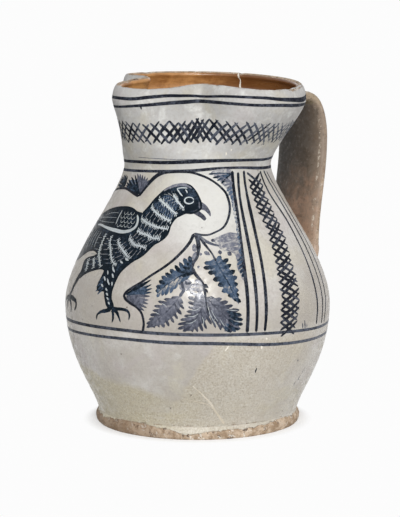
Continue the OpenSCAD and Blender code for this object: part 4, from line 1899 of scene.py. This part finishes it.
    def wing_marks(self) -> list[Stroke]:
        """Pale net of the coverts and pale quills of the long feathers.

        Returns:
            The strokes, in the order of painting.
        """
        hand = self.brush.hand
        strokes = [Stroke(((-0.8, 152.5), (-1.2, 148), (-0.8, 143)), (0.5, 0.7, 0.5))]
        for row in range(4):
            for column in range(4):
                place = np.array([2 + 3 * column + 1.5 * (row % 2), 142.6 + 2.7 * row])
                if place[0] < 13.4 - 0.6 * row:
                    arc = np.array(self.covert) + place + hand.normal(0, 0.12, 2)
                    strokes.append(Stroke([tuple(point) for point in arc], (0.16, 0.24, 0.24, 0.16)))
        for level, end in ((150.5, -20), (147.4, -27), (144.2, -33)):
            drop = (level - 141) * 0.5
            places = ((-3, level), (-10, level - 0.5), (end, level - 0.7 * drop))
            strokes.append(Stroke(places, (0.14, 0.2, 0.12)))
        for angle in (-12, -15.5, -19, -23, -27):
            places = ((angle, 137), (angle - 0.6, 131.5), (angle + 0.6, 126.5))
            strokes.append(Stroke(places, (0.2, 0.34, 0.2)))
        return strokes

    def build(self) -> None:
        """Paints the bird, dark first and then its pale marks."""
        self.washes("bird_body", [(self.outline, 0.92)], Lift.WASH)
        self.washes("bird_blue_patches", [(patch, 0.6) for patch in self.patches], Lift.FILL)
        beak = [(self.upper_beak, 0.76), (self.lower_beak, 1.0)]
        self.washes("bird_beak", beak, Lift.FILL, self.finishes.violet)
        limbs = [Stroke([*self.outline, self.outline[0]], (1.1,), (1.15,))]
        for claws, bold, loads in ((self.claws[:4], 0.78, (0.95, 0.85)), (self.claws[4:], 1.3, (1.05,))):
            limbs += [Stroke(places, [bold * wide for wide in widths], loads) for places, widths in claws]
        limbs += alike(self.fringe, (1.7, 1.2, 0.5), (0.8, 0.62))
        self.lines("bird_outline_and_feet", limbs)
        head = [Stroke(self.crown, (3, 4.5, 4.5, 4, 3), (0.86, 0.8, 0.84, 0.95)),
                Stroke(self.cheek, (3, 3.5, 3, 2.4), (1.15,))]
        self.lines("bird_head", head + self.patch_lines())
        # Painted sheen along the top of the head, in paler grey-violet
        head_sheen = Stroke(self.head_sheen, (0.6, 1.5, 1.7, 0.7), (0.46,))
        self.lines("bird_head_sheen", [head_sheen], Lift.OVER, self.finishes.violet)
        pale = alike(self.neck_bars, (0.55, 0.85, 0.8, 0.6))
        pale += alike(self.body_bars, (0.5, 0.8, 0.75, 0.5))
        pale += alike(self.head_marks, (0.45, 0.6, 0.5))
        pale += alike(self.flecks, (0.5, 1.05, 0.5))
        pale.append(Stroke(self.wing_edge, (0.9, 1.5, 1.9, 1.7, 1.3, 0.8)))
        x, y = self.eye_place
        wide, high = self.eye_reach
        turns = np.linspace(0, 2 * math.pi, 15)
        eye = [(x + wide * math.cos(turn), y + high * math.sin(turn)) for turn in turns]
        pale.append(Stroke(eye, (0.4, 0.4, 0.7, 0.7, 0.4)))
        self.lines("bird_pale_marks", pale + self.wing_marks(), Lift.OVER, self.finishes.reserve)
        self.lines("bird_bar_teeth", self.bar_teeth(), Lift.STROKE, self.finishes.reserve)
        self.lines("bird_scratches", self.scratches(), Lift.STROKE)


@dataclass
class Contour(Painting):
    """Line that parts the bird's white field from the leaves."""

    arch: Line = (
        (-60, 76), (-59, 88), (-53, 98), (-50, 112), (-52, 128), (-50, 146), (-42, 158), (-33, 163),
        (-25, 165), (-15, 166.3), (-8, 166.5), (3, 164), (9, 162.3))
    hood: Line = (
        (9, 162.3), (11, 166), (14, 170.5), (17, 174), (21, 177), (25, 178.5), (32, 179.5), (40, 179.8),
        (47, 179.3), (53, 177.7), (60, 175), (65, 172), (69, 168.5), (71.5, 165), (72.3, 161), (72.2, 156),
        (71, 152), (69, 147.5), (66, 143.5), (62, 141), (57, 139), (53, 139.3), (50, 140))
    fall: Line = (
        (50, 140), (48.5, 135.5), (46, 131), (43, 126.5), (40, 122.5), (36, 118), (31, 113), (27, 108.5),
        (23, 104.5), (20.5, 101.5), (19.8, 99.5), (20.5, 97.5), (23, 95), (26, 93), (28, 90.5), (29.3, 87),
        (29.8, 83), (29.3, 76))

    def build(self) -> None:
        """Paints the three runs of the line."""
        self.lines("contour_line", [
            Stroke(self.arch, (1.2, 1.4, 1.4, 1.5), (0.97,)),
            Stroke(self.hood, (1.6, 2.4, 2.0, 1.3, 1.2, 1.3, 1.2, 1.0, 1.1), (0.97, 0.95, 0.9, 0.75)),
            Stroke(self.fall, (1.6, 1.5, 1.3, 1.5, 1.4, 1.2), (0.92,))])


@dataclass(frozen=True)
class Leaf:
    """Leaf with lobes: its rib, the tips of the lobes on each side and their widths."""

    rib: Line
    left: Line
    right: Line
    load: float = 0.62
    left_lobe: float = 2.2
    right_lobe: float = 2.2
    fill: float = 0.55
    # Load taken from the right-hand lobes and wash: painted highlight where the glare falls on the leaf
    fade: float = 0.0


@dataclass
class Leaves(Painting):
    """Leaf sprays in front of the bird and the fans of leaves in the corners."""

    blue: Sequence[Leaf] = (
        Leaf(((50.5, 116), (46, 114.5), (41, 110), (37.5, 106), (35, 102)),
             ((48, 126), (45.5, 124.5), (43.5, 122), (41.5, 120), (39.5, 117.5), (37.5, 115), (36, 113),
              (35, 110), (34, 106.5), (34, 103.5)),
             ((46.5, 111), (44, 108), (42, 105), (40.5, 102.5), (38.5, 101), (37, 100.5), (35, 99.5)),
             0.78, 2.1, 1.7, 0.62, 0.3),
        Leaf(((60.5, 122.5), (63, 115), (65.5, 108), (67.5, 100), (69, 95)),
             ((55, 121.5), (54.5, 118.5), (56.5, 115.5), (58.5, 111), (60.5, 107.5), (62, 103.5),
              (64.5, 100.5), (67, 97.5)),
             ((63, 126), (66.5, 124), (67.5, 120.5), (69, 116.5), (69.5, 112.5), (69.5, 108), (69.5, 104),
              (69.5, 101), (70, 96.5)),
             0.76, 2.4, 2.3, 0.66))
    violet: Sequence[Leaf] = (
        Leaf(((44.5, 100.5), (42, 95), (39, 90), (36, 85.5), (32.5, 80)),
             ((41, 99.5), (38, 98.5), (35.5, 97), (34, 94), (33.5, 91), (32.5, 88), (32, 85), (31, 82),
              (31, 79.5)),
             ((46, 96), (46.5, 92.5), (45.5, 89), (44, 86), (42.5, 83.5), (40.5, 81), (38.5, 80),
              (36.5, 80), (34.5, 79.5)), 0.84, 1.6, 1.5, 0.6),
        Leaf(((54.5, 101), (54, 95.5), (52.5, 90), (50.5, 84.5), (48.5, 78.5)),
             ((51.4, 106), (48.6, 103.6), (48, 100.2), (48, 97), (48, 94), (47.5, 91), (46.5, 88),
              (45, 85.5), (44, 82.5), (44, 79.5), (46, 78)),
             ((56, 92), (56.5, 87.5), (57.5, 82.5), (55.5, 79.5), (54, 78), (52, 77.5), (50, 77.5)),
             0.9, 1.5, 1.35, 0.58),
        Leaf(((55.5, 100), (59, 94), (62.5, 88.5), (65.5, 82.5), (67.5, 77.5)),
             ((57.5, 90), (58.5, 86), (60, 82), (61.5, 79.5), (63, 77.5), (65, 76.5)),
             ((59, 99.5), (62, 99), (64.5, 97), (66.5, 94.5), (69, 91.5), (70, 88), (70.5, 85), (70.5, 82),
              (69.5, 79)), 0.94, 1.5, 1.75, 0.62))
    fans: Sequence[Fan] = (
        ((20.5, 100), ((31.5, 110.5), (32, 107.5), (32.5, 105), (32.5, 102.5)), 0.8),
        ((9, 164), ((-10, 168.5), (-11, 170.5), (-10, 172.5), (-7, 174.5), (-3, 176)), 0.95),
        ((-11, 168), ((-29, 168), (-29, 170), (-28, 172), (-26, 173.5), (-22, 175), (-18, 175.5),
                      (-14, 175)), 1.0),
        ((78, 178), ((60, 178), (63, 175.5), (66, 173.5), (69, 171.5)), 0.8))
    violet_fans: Sequence[Fan] = (
        ((21, 98.5), ((32, 100), (31.5, 97.5), (31.5, 95), (31, 92.5), (30, 90.5)), 0.74),
        ((9, 165), ((0, 177), (3, 177), (6, 176.5), (9, 176), (12, 175), (14, 173.5)), 0.84),
        ((78, 172), ((66, 178), (68.5, 174.5), (71, 170.5), (73, 168)), 0.7))
    stems: Drawn = (
        (((51, 139.5), (52.3, 134), (52.3, 129), (51.5, 125), (50, 121.5), (49.6, 118.5)),
         (2.2, 1.8, 1.4), 0.72),
        (((49.6, 118.5), (50.5, 115.5), (52.5, 112), (54, 109), (54.8, 105), (55.2, 100), (55.6, 95),
          (56.5, 90)), (1.7, 1.5, 1.2, 0.9, 0.7), 0.78),
        (((53, 137.5), (56.5, 131.5), (59, 127), (60.5, 122.5)), (1.3, 1.0, 1.1), 0.8),
        (((52, 138.8), (57, 134.5), (60, 133), (63, 132)), (1.6, 1.6, 1.2, 0.8), 0.55),
        (((54, 108.5), (55.5, 107), (56.5, 106)), (1.0, 1.8, 1.2), 0.8),
        (((54.8, 105.5), (55.6, 104.2), (56.2, 103)), (1.0, 1.6, 1.0), 0.8),
        (((45, 110), (45.5, 107), (46.5, 104.5)), (1.0, 1.4, 1.0), 0.6),
        (((46.5, 110.5), (47.5, 108.5), (49.5, 109.5)), (1.0, 1.2, 0.8), 0.62),
        (((46.6, 105.5), (45.6, 103), (44.4, 100)), (1.6, 1.5, 1.2), 0.5))
    tip: Lines = (
        ((63.6, 91), (66.6, 89), (69.8, 88.6)), ((64.4, 88.4), (67.4, 86), (70.4, 85)),
        ((64.4, 85.6), (67.2, 82.8), (70.2, 81.4)), ((63.4, 83), (65.8, 80), (69, 78.4)),
        ((62.4, 81.6), (63.8, 79), (65.2, 77)), ((65.4, 81), (66.6, 78.6), (67.4, 77)),
        ((50, 118), (48.4, 119.6), (47, 121.6)), ((50, 117), (47.4, 118), (45.2, 119)),
        ((50.2, 116), (47.4, 116.4), (44.6, 115.6)), ((50.4, 115), (48, 114.6), (45, 113)))
    wedge: Lines = (
        ((56, 93), (57.6, 87), (59.2, 80)), ((57, 92), (59.4, 85.6), (61.4, 78.4)),
        ((58.6, 90), (61, 84.6), (63, 79)))
    # The first three leaflets are pale as a painted highlight, where the glare crosses the leaves
    leaflets: Drawn = (
        (((54.2, 107.4), (52.4, 110.4), (50.6, 110)), (1.0, 1.9, 1.2), 0.4),
        (((54.2, 106), (51.6, 107.8), (49, 107.4)), (1.0, 1.9, 1.2), 0.36),
        (((54.4, 104.4), (51, 105.2), (47.6, 104.6)), (1.0, 1.9, 1.2), 0.42),
        (((50.3, 133.5), (50.3, 131), (50.8, 128.5)), (1.2, 2.4, 1.6), 0.4),
        (((51.2, 128.5), (50.5, 126), (49.8, 123.5)), (1.2, 2.2, 1.4), 0.5),
        (((53, 128), (53.4, 127), (53.2, 126)), (1.2, 1.6, 1.0), 0.5),
        (((55, 128.5), (56.5, 127.6), (57.8, 126.6)), (1.2, 2.2, 1.6), 0.52),
        (((51.8, 119.4), (52.4, 119), (53, 119.2)), (1.4, 1.8, 1.2), 0.6),
        (((58.8, 136), (59.8, 135.5), (60.8, 135)), (1.4, 2.0, 1.2), 0.8),
        (((62.6, 129.5), (62.8, 128), (62.8, 126.6)), (1.4, 2.2, 1.6), 0.78),
        (((66.4, 128), (67.4, 127), (68.3, 126)), (1.4, 2.2, 1.6), 0.8),
        (((73.5, 139), (69, 139), (64, 137.5)), (1.2, 2.2, 1.4), 0.42),
        (((73.5, 136), (68, 136), (62, 134.8)), (1.2, 2.4, 1.4), 0.45),
        (((73.5, 133), (69, 132.6), (64, 131.5)), (1.2, 2.4, 1.4), 0.5),
        (((73.2, 130), (70, 130), (66, 129.6)), (1.2, 2.2, 1.4), 0.45),
        (((72.8, 127), (71.5, 125.5), (70.5, 123)), (1.4, 2.0, 1.2), 0.5))
    corner: Line = (
        (62, 179), (66, 181), (74, 181.8), (78, 180.5), (77.4, 172), (76.6, 160), (75.4, 148), (74.6, 138),
        (73.6, 124), (73, 111), (72.2, 110), (71, 114), (70, 119), (70.5, 123), (72, 129), (73.2, 136),
        (74.3, 146), (74.4, 156), (74, 163), (72.6, 167.5), (69, 172), (65, 176))
    pale_leaf: Line = (
        (60, 136), (63, 138), (66, 139.5), (70, 140), (73.8, 139), (73.8, 133), (73, 127), (71, 124),
        (69.5, 127), (67, 128.5), (64, 129), (62.5, 131), (61, 133.5))
    gaps: Lines = (
        ((55.9, 95), (57, 89), (59.8, 81)), ((57.4, 92), (58.6, 88), (60.4, 83.8)),
        ((63.4, 92.2), (66, 91.4), (68.6, 91)), ((60.8, 86), (62.6, 81.5), (64, 78)),
        ((66.4, 84.6), (68, 84), (69.6, 84)), ((53, 93.4), (51, 91.8), (49, 92)),
        ((52.6, 89.8), (50, 87.8), (47.8, 88)), ((51.6, 86), (49.4, 83.6), (47, 83.4)),
        ((53.6, 88), (54.4, 84.6), (54, 81)), ((39.4, 93.4), (38.4, 95), (37, 96)),
        ((36.6, 88.6), (35.4, 89.4), (34.6, 90)))
    bud: Line = (
        (44, 108), (44.8, 111), (46.8, 112), (49, 110.4), (49.4, 107), (48, 104.4), (46, 104),
        (44.4, 105.4))
    knee: Line = (
        (20.6, 100), (23, 103), (26, 106.2), (29, 109), (30, 106), (30, 102), (29.5, 98), (28.5, 94.5),
        (25, 95), (22, 97.5))
    notch: Line = (
        (8.6, 164.2), (3, 165.3), (-3, 166.6), (-8, 168), (-8, 171), (-2, 172.5), (4, 172.5), (9, 171.5),
        (11.5, 169))
    rib_step: float = 0.8
    rib_ends: Zone = (0.02, 0.98)
    rib_widths: Floats = (0.5, 0.75, 0.6, 0.4)
    rib_paler: float = 0.06
    lobe_back: float = 0.06
    lobe_straight: float = 0.42
    lobe_bow: float = 0.16
    lobe_least: float = 0.9
    lobe_more: float = 0.2
    lobe_stalk: Zone = (0.7, 1.0)
    lobe_tip: float = 0.75
    lobe_dab: float = 0.13
    lobe_loads: Triple = (-0.3, -0.12, 0.18)
    fan_sway: float = 0.3
    fan_dab: float = 0.07
    fan_widths: Floats = (0.8, 1.2, 1.6, 1.5, 0.5)
    fan_loads: Triple = (0.0, -0.1, 0.05)
    streak_levels: Triple = (113, 170, 2.6)
    streak_starts: Line = ((110, 73), (140, 74.8), (172, 77.2))
    streak_runs: Line = ((110, 1.2), (120, 3), (140, 1.2), (160, 2), (170, 5))
    streak_tones: Line = ((110, 0.7), (124, 0.6), (140, 0.3), (170, 0.4))
    streak_least: float = 0.8
    streak_more: float = 0.4
    streak_dab: float = 0.06
    streak_rises: Triple = (1.5, 0.6, -1.2)
    streak_widths: Triple = (1.2, 1.6, 0.7)
    far_narrow: float = 0.55
    far_turn: float = 32.0
    far_lobe: float = 0.8

    def along(self, rib: Line, share: float) -> Point:
        """Place at a share of a rib."""
        path = smooth_line(rib, self.rib_step)
        angle, level = path[min(int(share * len(path)), len(path) - 1)]
        return (float(angle), float(level))

    def lobes(self, leaf: Leaf) -> list[Stroke]:
        """Rib and lobes of a leaf.

        Args:
            leaf: the leaf to paint.

        Returns:
            The strokes, the rib first.
        """
        strokes = [Stroke(leaf.rib, self.rib_widths, (leaf.load - self.rib_paler,))]
        hand = self.brush.hand
        lowest, highest = self.rib_ends
        sides = ((leaf.left, leaf.left_lobe, 0.0), (leaf.right, leaf.right_lobe, leaf.fade))
        for tips, lobe, fade in sides:
            for index, tip in enumerate(tips):
                base = self.along(leaf.rib, max(lowest, (index + 0.1) / len(tips) - self.lobe_back))
                ahead = self.along(leaf.rib, min(highest, (index + 0.9) / len(tips)))
                middle = tuple((b + t) * self.lobe_straight + a * self.lobe_bow
                               for b, t, a in zip(base, tip, ahead))
                wide = lobe * (self.lobe_least + self.lobe_more * hand.random())
                load = leaf.load - fade + hand.normal(0, self.lobe_dab)
                widths = (*self.lobe_stalk, wide, wide, wide * self.lobe_tip)
                loads = [load + more for more in self.lobe_loads]
                strokes.append(Stroke((base, middle, tip), widths, loads))
        return strokes

    def blade(self, leaf: Leaf) -> list[Point]:
        """Outline of the wash under a leaf's lobes, inside their tips.

        Args:
            leaf: the leaf to fill.

        Returns:
            Places round the wash.
        """
        edge = []
        for tips, way, fill in ((leaf.left, 1, leaf.fill), (leaf.right, -1, leaf.fill * (1 - leaf.fade))):
            side = []
            for index, tip in enumerate(tips):
                base = self.along(leaf.rib, (index + 0.5) / len(tips))
                side.append(tuple(b + fill * (t - b) for b, t in zip(base, tip)))
            edge += side[::way]
        return edge

    def spray(self, leaves: Iterable[Leaf]) -> list[Stroke]:
        """Ribs and lobes of several leaves."""
        return [stroke for leaf in leaves for stroke in self.lobes(leaf)]

    def spread(self, fans: Iterable[Fan]) -> list[Stroke]:
        """Blades that spread from the base of each fan.

        Args:
            fans: base, tips and load of each fan.

        Returns:
            The strokes, in the order of painting.
        """
        hand = self.brush.hand
        strokes = []
        for base, tips, load in fans:
            for tip in tips:
                middle = tuple((b + t) / 2 + hand.normal(0, self.fan_sway) for b, t in zip(base, tip))
                tone = load + hand.normal(0, self.fan_dab)
                tones = [tone + more for more in self.fan_loads]
                strokes.append(Stroke((base, middle, tip), self.fan_widths, tones))
        return strokes

    def streaks(self) -> list[Stroke]:
        """Short strokes down the corner's edge, beside the first side line.

        Returns:
            The strokes, in the order of painting.
        """
        hand = self.brush.hand
        strokes = []
        for level in np.arange(*self.streak_levels):
            right = graded(level, self.streak_starts)
            run = self.streak_least + self.streak_more * hand.random()
            left = right - graded(level, self.streak_runs) * run
            tone = graded(level, self.streak_tones) + hand.normal(0, self.streak_dab)
            across = (right, (left + right) / 2, left)
            places = [(angle, level + rise) for angle, rise in zip(across, self.streak_rises)]
            strokes.append(Stroke(places, self.streak_widths, (tone,)))
        return strokes

    def far_side(self, leaf: Leaf) -> Leaf:
        """The same leaf, narrower, on the side that the photo doesn't show."""
        rib, left, right = ([(-self.far_narrow * angle - self.far_turn, level) for angle, level in places]
                            for places in (leaf.rib, leaf.left, leaf.right))
        lobes = (self.far_lobe * leaf.left_lobe, self.far_lobe * leaf.right_lobe)
        return Leaf(rib, left, right, leaf.load, *lobes)

    def build(self) -> None:
        """Paints the washes, the leaves, the fans and the stems."""
        violet = self.finishes.violet
        corner = [(self.corner, 0.34), (self.pale_leaf, 0.3), (self.bud, 0.4)]
        self.washes("corner_washes", corner, Lift.WASH, violet)
        blades = [(self.blade(leaf), leaf.load - 0.32) for leaf in self.blue]
        self.washes("blue_leaf_washes", blades + [(self.knee, 0.34), (self.notch, 0.4)])
        blades = [(self.blade(leaf), leaf.load - 0.2) for leaf in self.violet]
        self.washes("violet_leaf_washes", blades, Lift.WASH, violet)
        self.lines("blue_leaves", self.spray(self.blue))
        self.lines("violet_leaves", self.spray(self.violet), Lift.STROKE, violet)
        self.lines("leaf_gaps", alike(self.gaps, (0.15, 0.32, 0.15)), Lift.OVER, self.finishes.reserve)
        self.lines("leaf_wedge", alike(self.wedge, (0.6, 1.5, 0.8), (0.66, 0.8)), Lift.STROKE, violet)
        self.lines("dark_leaf_tip", alike(self.tip, (0.8, 1.9, 1.1), (0.7, 0.82)), Lift.OVER)
        self.lines("leaf_fans", self.spread(self.fans))
        self.lines("violet_leaf_fans", self.spread(self.violet_fans), Lift.STROKE, violet)
        self.lines("corner_streaks", self.streaks())
        self.lines("leaf_stems", drawn(self.stems), Lift.OVER, self.finishes.ink)
        self.lines("leaflets", drawn(self.leaflets), Lift.OVER, violet)
        far = [self.far_side(leaf) for leaf in (*self.violet, *self.blue)]
        self.lines("far_side_leaves", self.spray(far), Lift.STROKE, violet)


# Old mends


@dataclass
class Mends(Pottery):
    """Filler in old cracks and small losses of the glaze."""

    rim_crack: Line = (
        (-153.4, 242), (-154.3, 239), (-154.9, 235), (-154.3, 231), (-155.6, 221), (-155, 214))
    belly_crack: Line = ((49.5, 40), (54, 33.5), (58.5, 26), (61.5, 19.5), (66.5, 10.5))
    side_crack: Line = ((45, 30), (51, 28), (57, 25.5), (61, 20.5))
    losses: Sequence[tuple[Line, Floats]] = (
        (((79, 66.5), (79.4, 65.2), (79.2, 63.8)), (0.9, 1.2, 0.7)),
        (((81, 71.5), (81.6, 70.6), (82, 70.9)), (0.5, 0.8, 0.4)),
        (((64.6, 68), (64.2, 66.4), (63, 64)), (0.5, 0.8, 0.3)),
        (((72.4, 193.6), (72.8, 192), (72.6, 190.8)), (0.5, 0.8, 0.4)),
        (((75.6, 196), (75.9, 195), (75.8, 194.2)), (0.4, 0.6, 0.3)),
        (((64, 69), (65, 68.4), (66, 68.8)), (0.6, 0.9, 0.5)))
    rim_lift: float = 0.2
    belly_lift: float = 0.07

    def build(self) -> None:
        """Fills the crack behind the lip, the one over the foot and the losses."""
        inner = Brush(self.form.inside, 21)
        crack = Stroke(self.rim_crack, (0.9, 0.7, 0.9, 1.4, 1.2, 0.6))
        film = inner.line(crack, self.rim_lift)
        self.bench.place("rim_crack_fill", film, self.finishes.mend, Slot.LEAD)
        outer = Brush(self.form.outside, 22)
        cracks = [Stroke(self.belly_crack, (0.3, 0.7, 1.1, 0.8, 1.2), (0.8, 0.4)),
                  Stroke(self.side_crack, (0.2, 0.5, 0.3), (0.2,)),
                  *(Stroke(*loss) for loss in self.losses)]
        film = outer.lines(cracks, self.belly_lift)
        self.bench.place("belly_crack_fill", film, self.finishes.mend, Slot.TIN)


# Studio


@dataclass
class Studio:
    """Floor, lights, world and camera, in metres, watts and degrees."""

    key_power: float = 29.0
    key_far: float = 1.6
    key_high: float = 1.0
    key_size: float = 0.55
    back_power: float = 2.8
    back_far: float = 1.3
    back_high: float = 1.1
    back_size: float = 1.0
    side_power: float = 3.4
    side_far: float = 1.1
    side_high: float = 0.2
    side_size: float = 0.36
    aim_high: float = 0.12
    sky: float = 0.2
    white: float = 0.975
    paper: Colour = (0.6, 0.6, 0.6, 1.0)
    floor_reach: float = 4.0
    floor_glow: float = 0.36
    floor_near: float = 0.8
    floor_away: float = 0.35
    floor_fades: Zone = (0.12, 0.6)
    white_past: Zone = (0.0725, 0.083)
    camera_turn: float = -38.0
    camera_far: float = 1.106
    camera_height: float = 0.251
    pitch: float = 7.04
    yaw: float = 0.084
    lens: float = 109.2

    @staticmethod
    def plainly_seen(g: Graph) -> Socket:
        """1 for rays that show the floor and the backdrop, 0 for those that only carry their light."""
        path = g.add("ShaderNodeLightPath").outputs
        return g.most(path["Is Camera Ray"], g.most(path["Is Glossy Ray"], path["Is Transmission Ray"]))

    def floor(self) -> None:
        """Pale floor that fades to white away from the jug and keeps its shadow."""
        mesh = bpy.data.meshes.new("floor")
        far = self.floor_reach
        corners = [(-far, -far, 0), (far, -far, 0), (far, far, 0), (-far, far, 0)]
        mesh.from_pydata(corners, [], [(0, 1, 2, 3)])
        floor = bpy.data.objects.new("floor", mesh)
        bpy.context.scene.collection.objects.link(floor)
        made = bpy.data.materials.new("floor")
        g = empty_graph(made)
        paper = g.add("ShaderNodeBsdfDiffuse", {"Color": self.paper}).outputs[0]
        away = g.measure("LENGTH", g.place())
        tone = g.spread(away, *self.floor_fades, self.floor_near, self.floor_away)
        bounce = g.add("ShaderNodeBsdfDiffuse", {"Color": tone}).outputs[0]
        glow, white = (g.add("ShaderNodeEmission", {"Color": (1, 1, 1, 1), "Strength": power}).outputs[0]
                       for power in (self.floor_glow, self.white))
        near = g.add("ShaderNodeAddShader", {0: paper, 1: glow}).outputs[0]
        past = g.spread(away, *self.white_past)
        shown = g.add("ShaderNodeMixShader", {0: past, 1: near, 2: white}).outputs[0]
        seen = self.plainly_seen(g)
        mixed = g.add("ShaderNodeMixShader", {0: seen, 1: bounce, 2: shown}).outputs[0]
        g.add("ShaderNodeOutputMaterial", {"Surface": mixed})
        mesh.materials.append(made)

    def world(self) -> None:
        """White behind the jug, softer as light."""
        world = bpy.data.worlds.new("studio")
        bpy.context.scene.world = world
        g = empty_graph(world)
        power = g.spread(self.plainly_seen(g), 0, 1, self.sky, self.white)
        back = g.add("ShaderNodeBackground", {"Color": (1, 1, 1, 1), "Strength": power})
        g.add("ShaderNodeOutputWorld", {"Surface": back.outputs[0]})

    def lamp(self, name: str, place: Triple, size: float, power: float, glossy: bool = True) -> None:
        """Square soft light that faces the jug, mirrored in its glaze or not.

        Args:
            name: name of the light.
            place: where it stands, in metres.
            size: length of its side in metres.
            power: its power in watts.
            glossy: whether the glaze mirrors it.
        """
        data = bpy.data.lights.new(name, "AREA")
        data.size = size
        data.energy = power
        lamp = bpy.data.objects.new(name, data)
        lamp.location = place
        lamp.rotation_mode = "QUATERNION"
        towards = Vector((0, 0, self.aim_high)) - Vector(place)
        lamp.rotation_quaternion = towards.to_track_quat("-Z", "Y")
        lamp.visible_glossy = glossy
        bpy.context.scene.collection.objects.link(lamp)

    @property
    def ahead(self) -> Point:
        """Direction on the floor from the jug to the camera."""
        turn = math.radians(self.camera_turn)
        return (math.sin(turn), -math.cos(turn))

    def lamps(self) -> None:
        """Key light over the camera and weaker ones behind the jug and on its right."""
        x, y = self.ahead
        key = (self.key_far * x, self.key_far * y, self.key_high)
        back = (-self.back_far * x, -self.back_far * y, self.back_high)
        side = (-self.side_far * y, self.side_far * x, self.side_high)
        self.lamp("key", key, self.key_size, self.key_power)
        self.lamp("back", back, self.back_size, self.back_power)
        self.lamp("side", side, self.side_size, self.side_power, False)

    def camera(self) -> None:
        """Camera at the place found from the photo."""
        data = bpy.data.cameras.new("camera")
        data.sensor_width = 36.0
        data.lens = self.lens
        camera = bpy.data.objects.new("camera", data)
        x, y = self.ahead
        camera.location = (x * self.camera_far, y * self.camera_far, self.camera_height)
        turn = math.radians(self.camera_turn)
        camera.rotation_euler = (math.radians(90 - self.pitch), 0, turn - math.radians(self.yaw))
        bpy.context.scene.collection.objects.link(camera)
        bpy.context.scene.camera = camera

    def build(self) -> None:
        """Builds the studio."""
        self.floor()
        self.world()
        self.lamps()
        self.camera()
        bpy.context.scene.view_settings.view_transform = "Standard"


def main() -> None:
    """Builds the jug and its studio."""
    logging.basicConfig(level=logging.INFO, format="%(name)s: %(message)s")
    form = JugForm()
    bench = Bench()
    finishes = Finishes()
    ThrownBody(form, bench, finishes).build()
    Handle(form, bench, finishes).build()
    Bands(Brush(form.outside, 3), bench, finishes, finishes.ink).build()
    Contour(Brush(form.outside, 5), bench, finishes, finishes.ink).build()
    Leaves(Brush(form.outside, 7), bench, finishes, finishes.cobalt).build()
    Bird(Brush(form.outside, 9), bench, finishes, finishes.cobalt).build()
    Mends(form, bench, finishes).build()
    Studio().build()


if __name__ == "__main__":
    main()
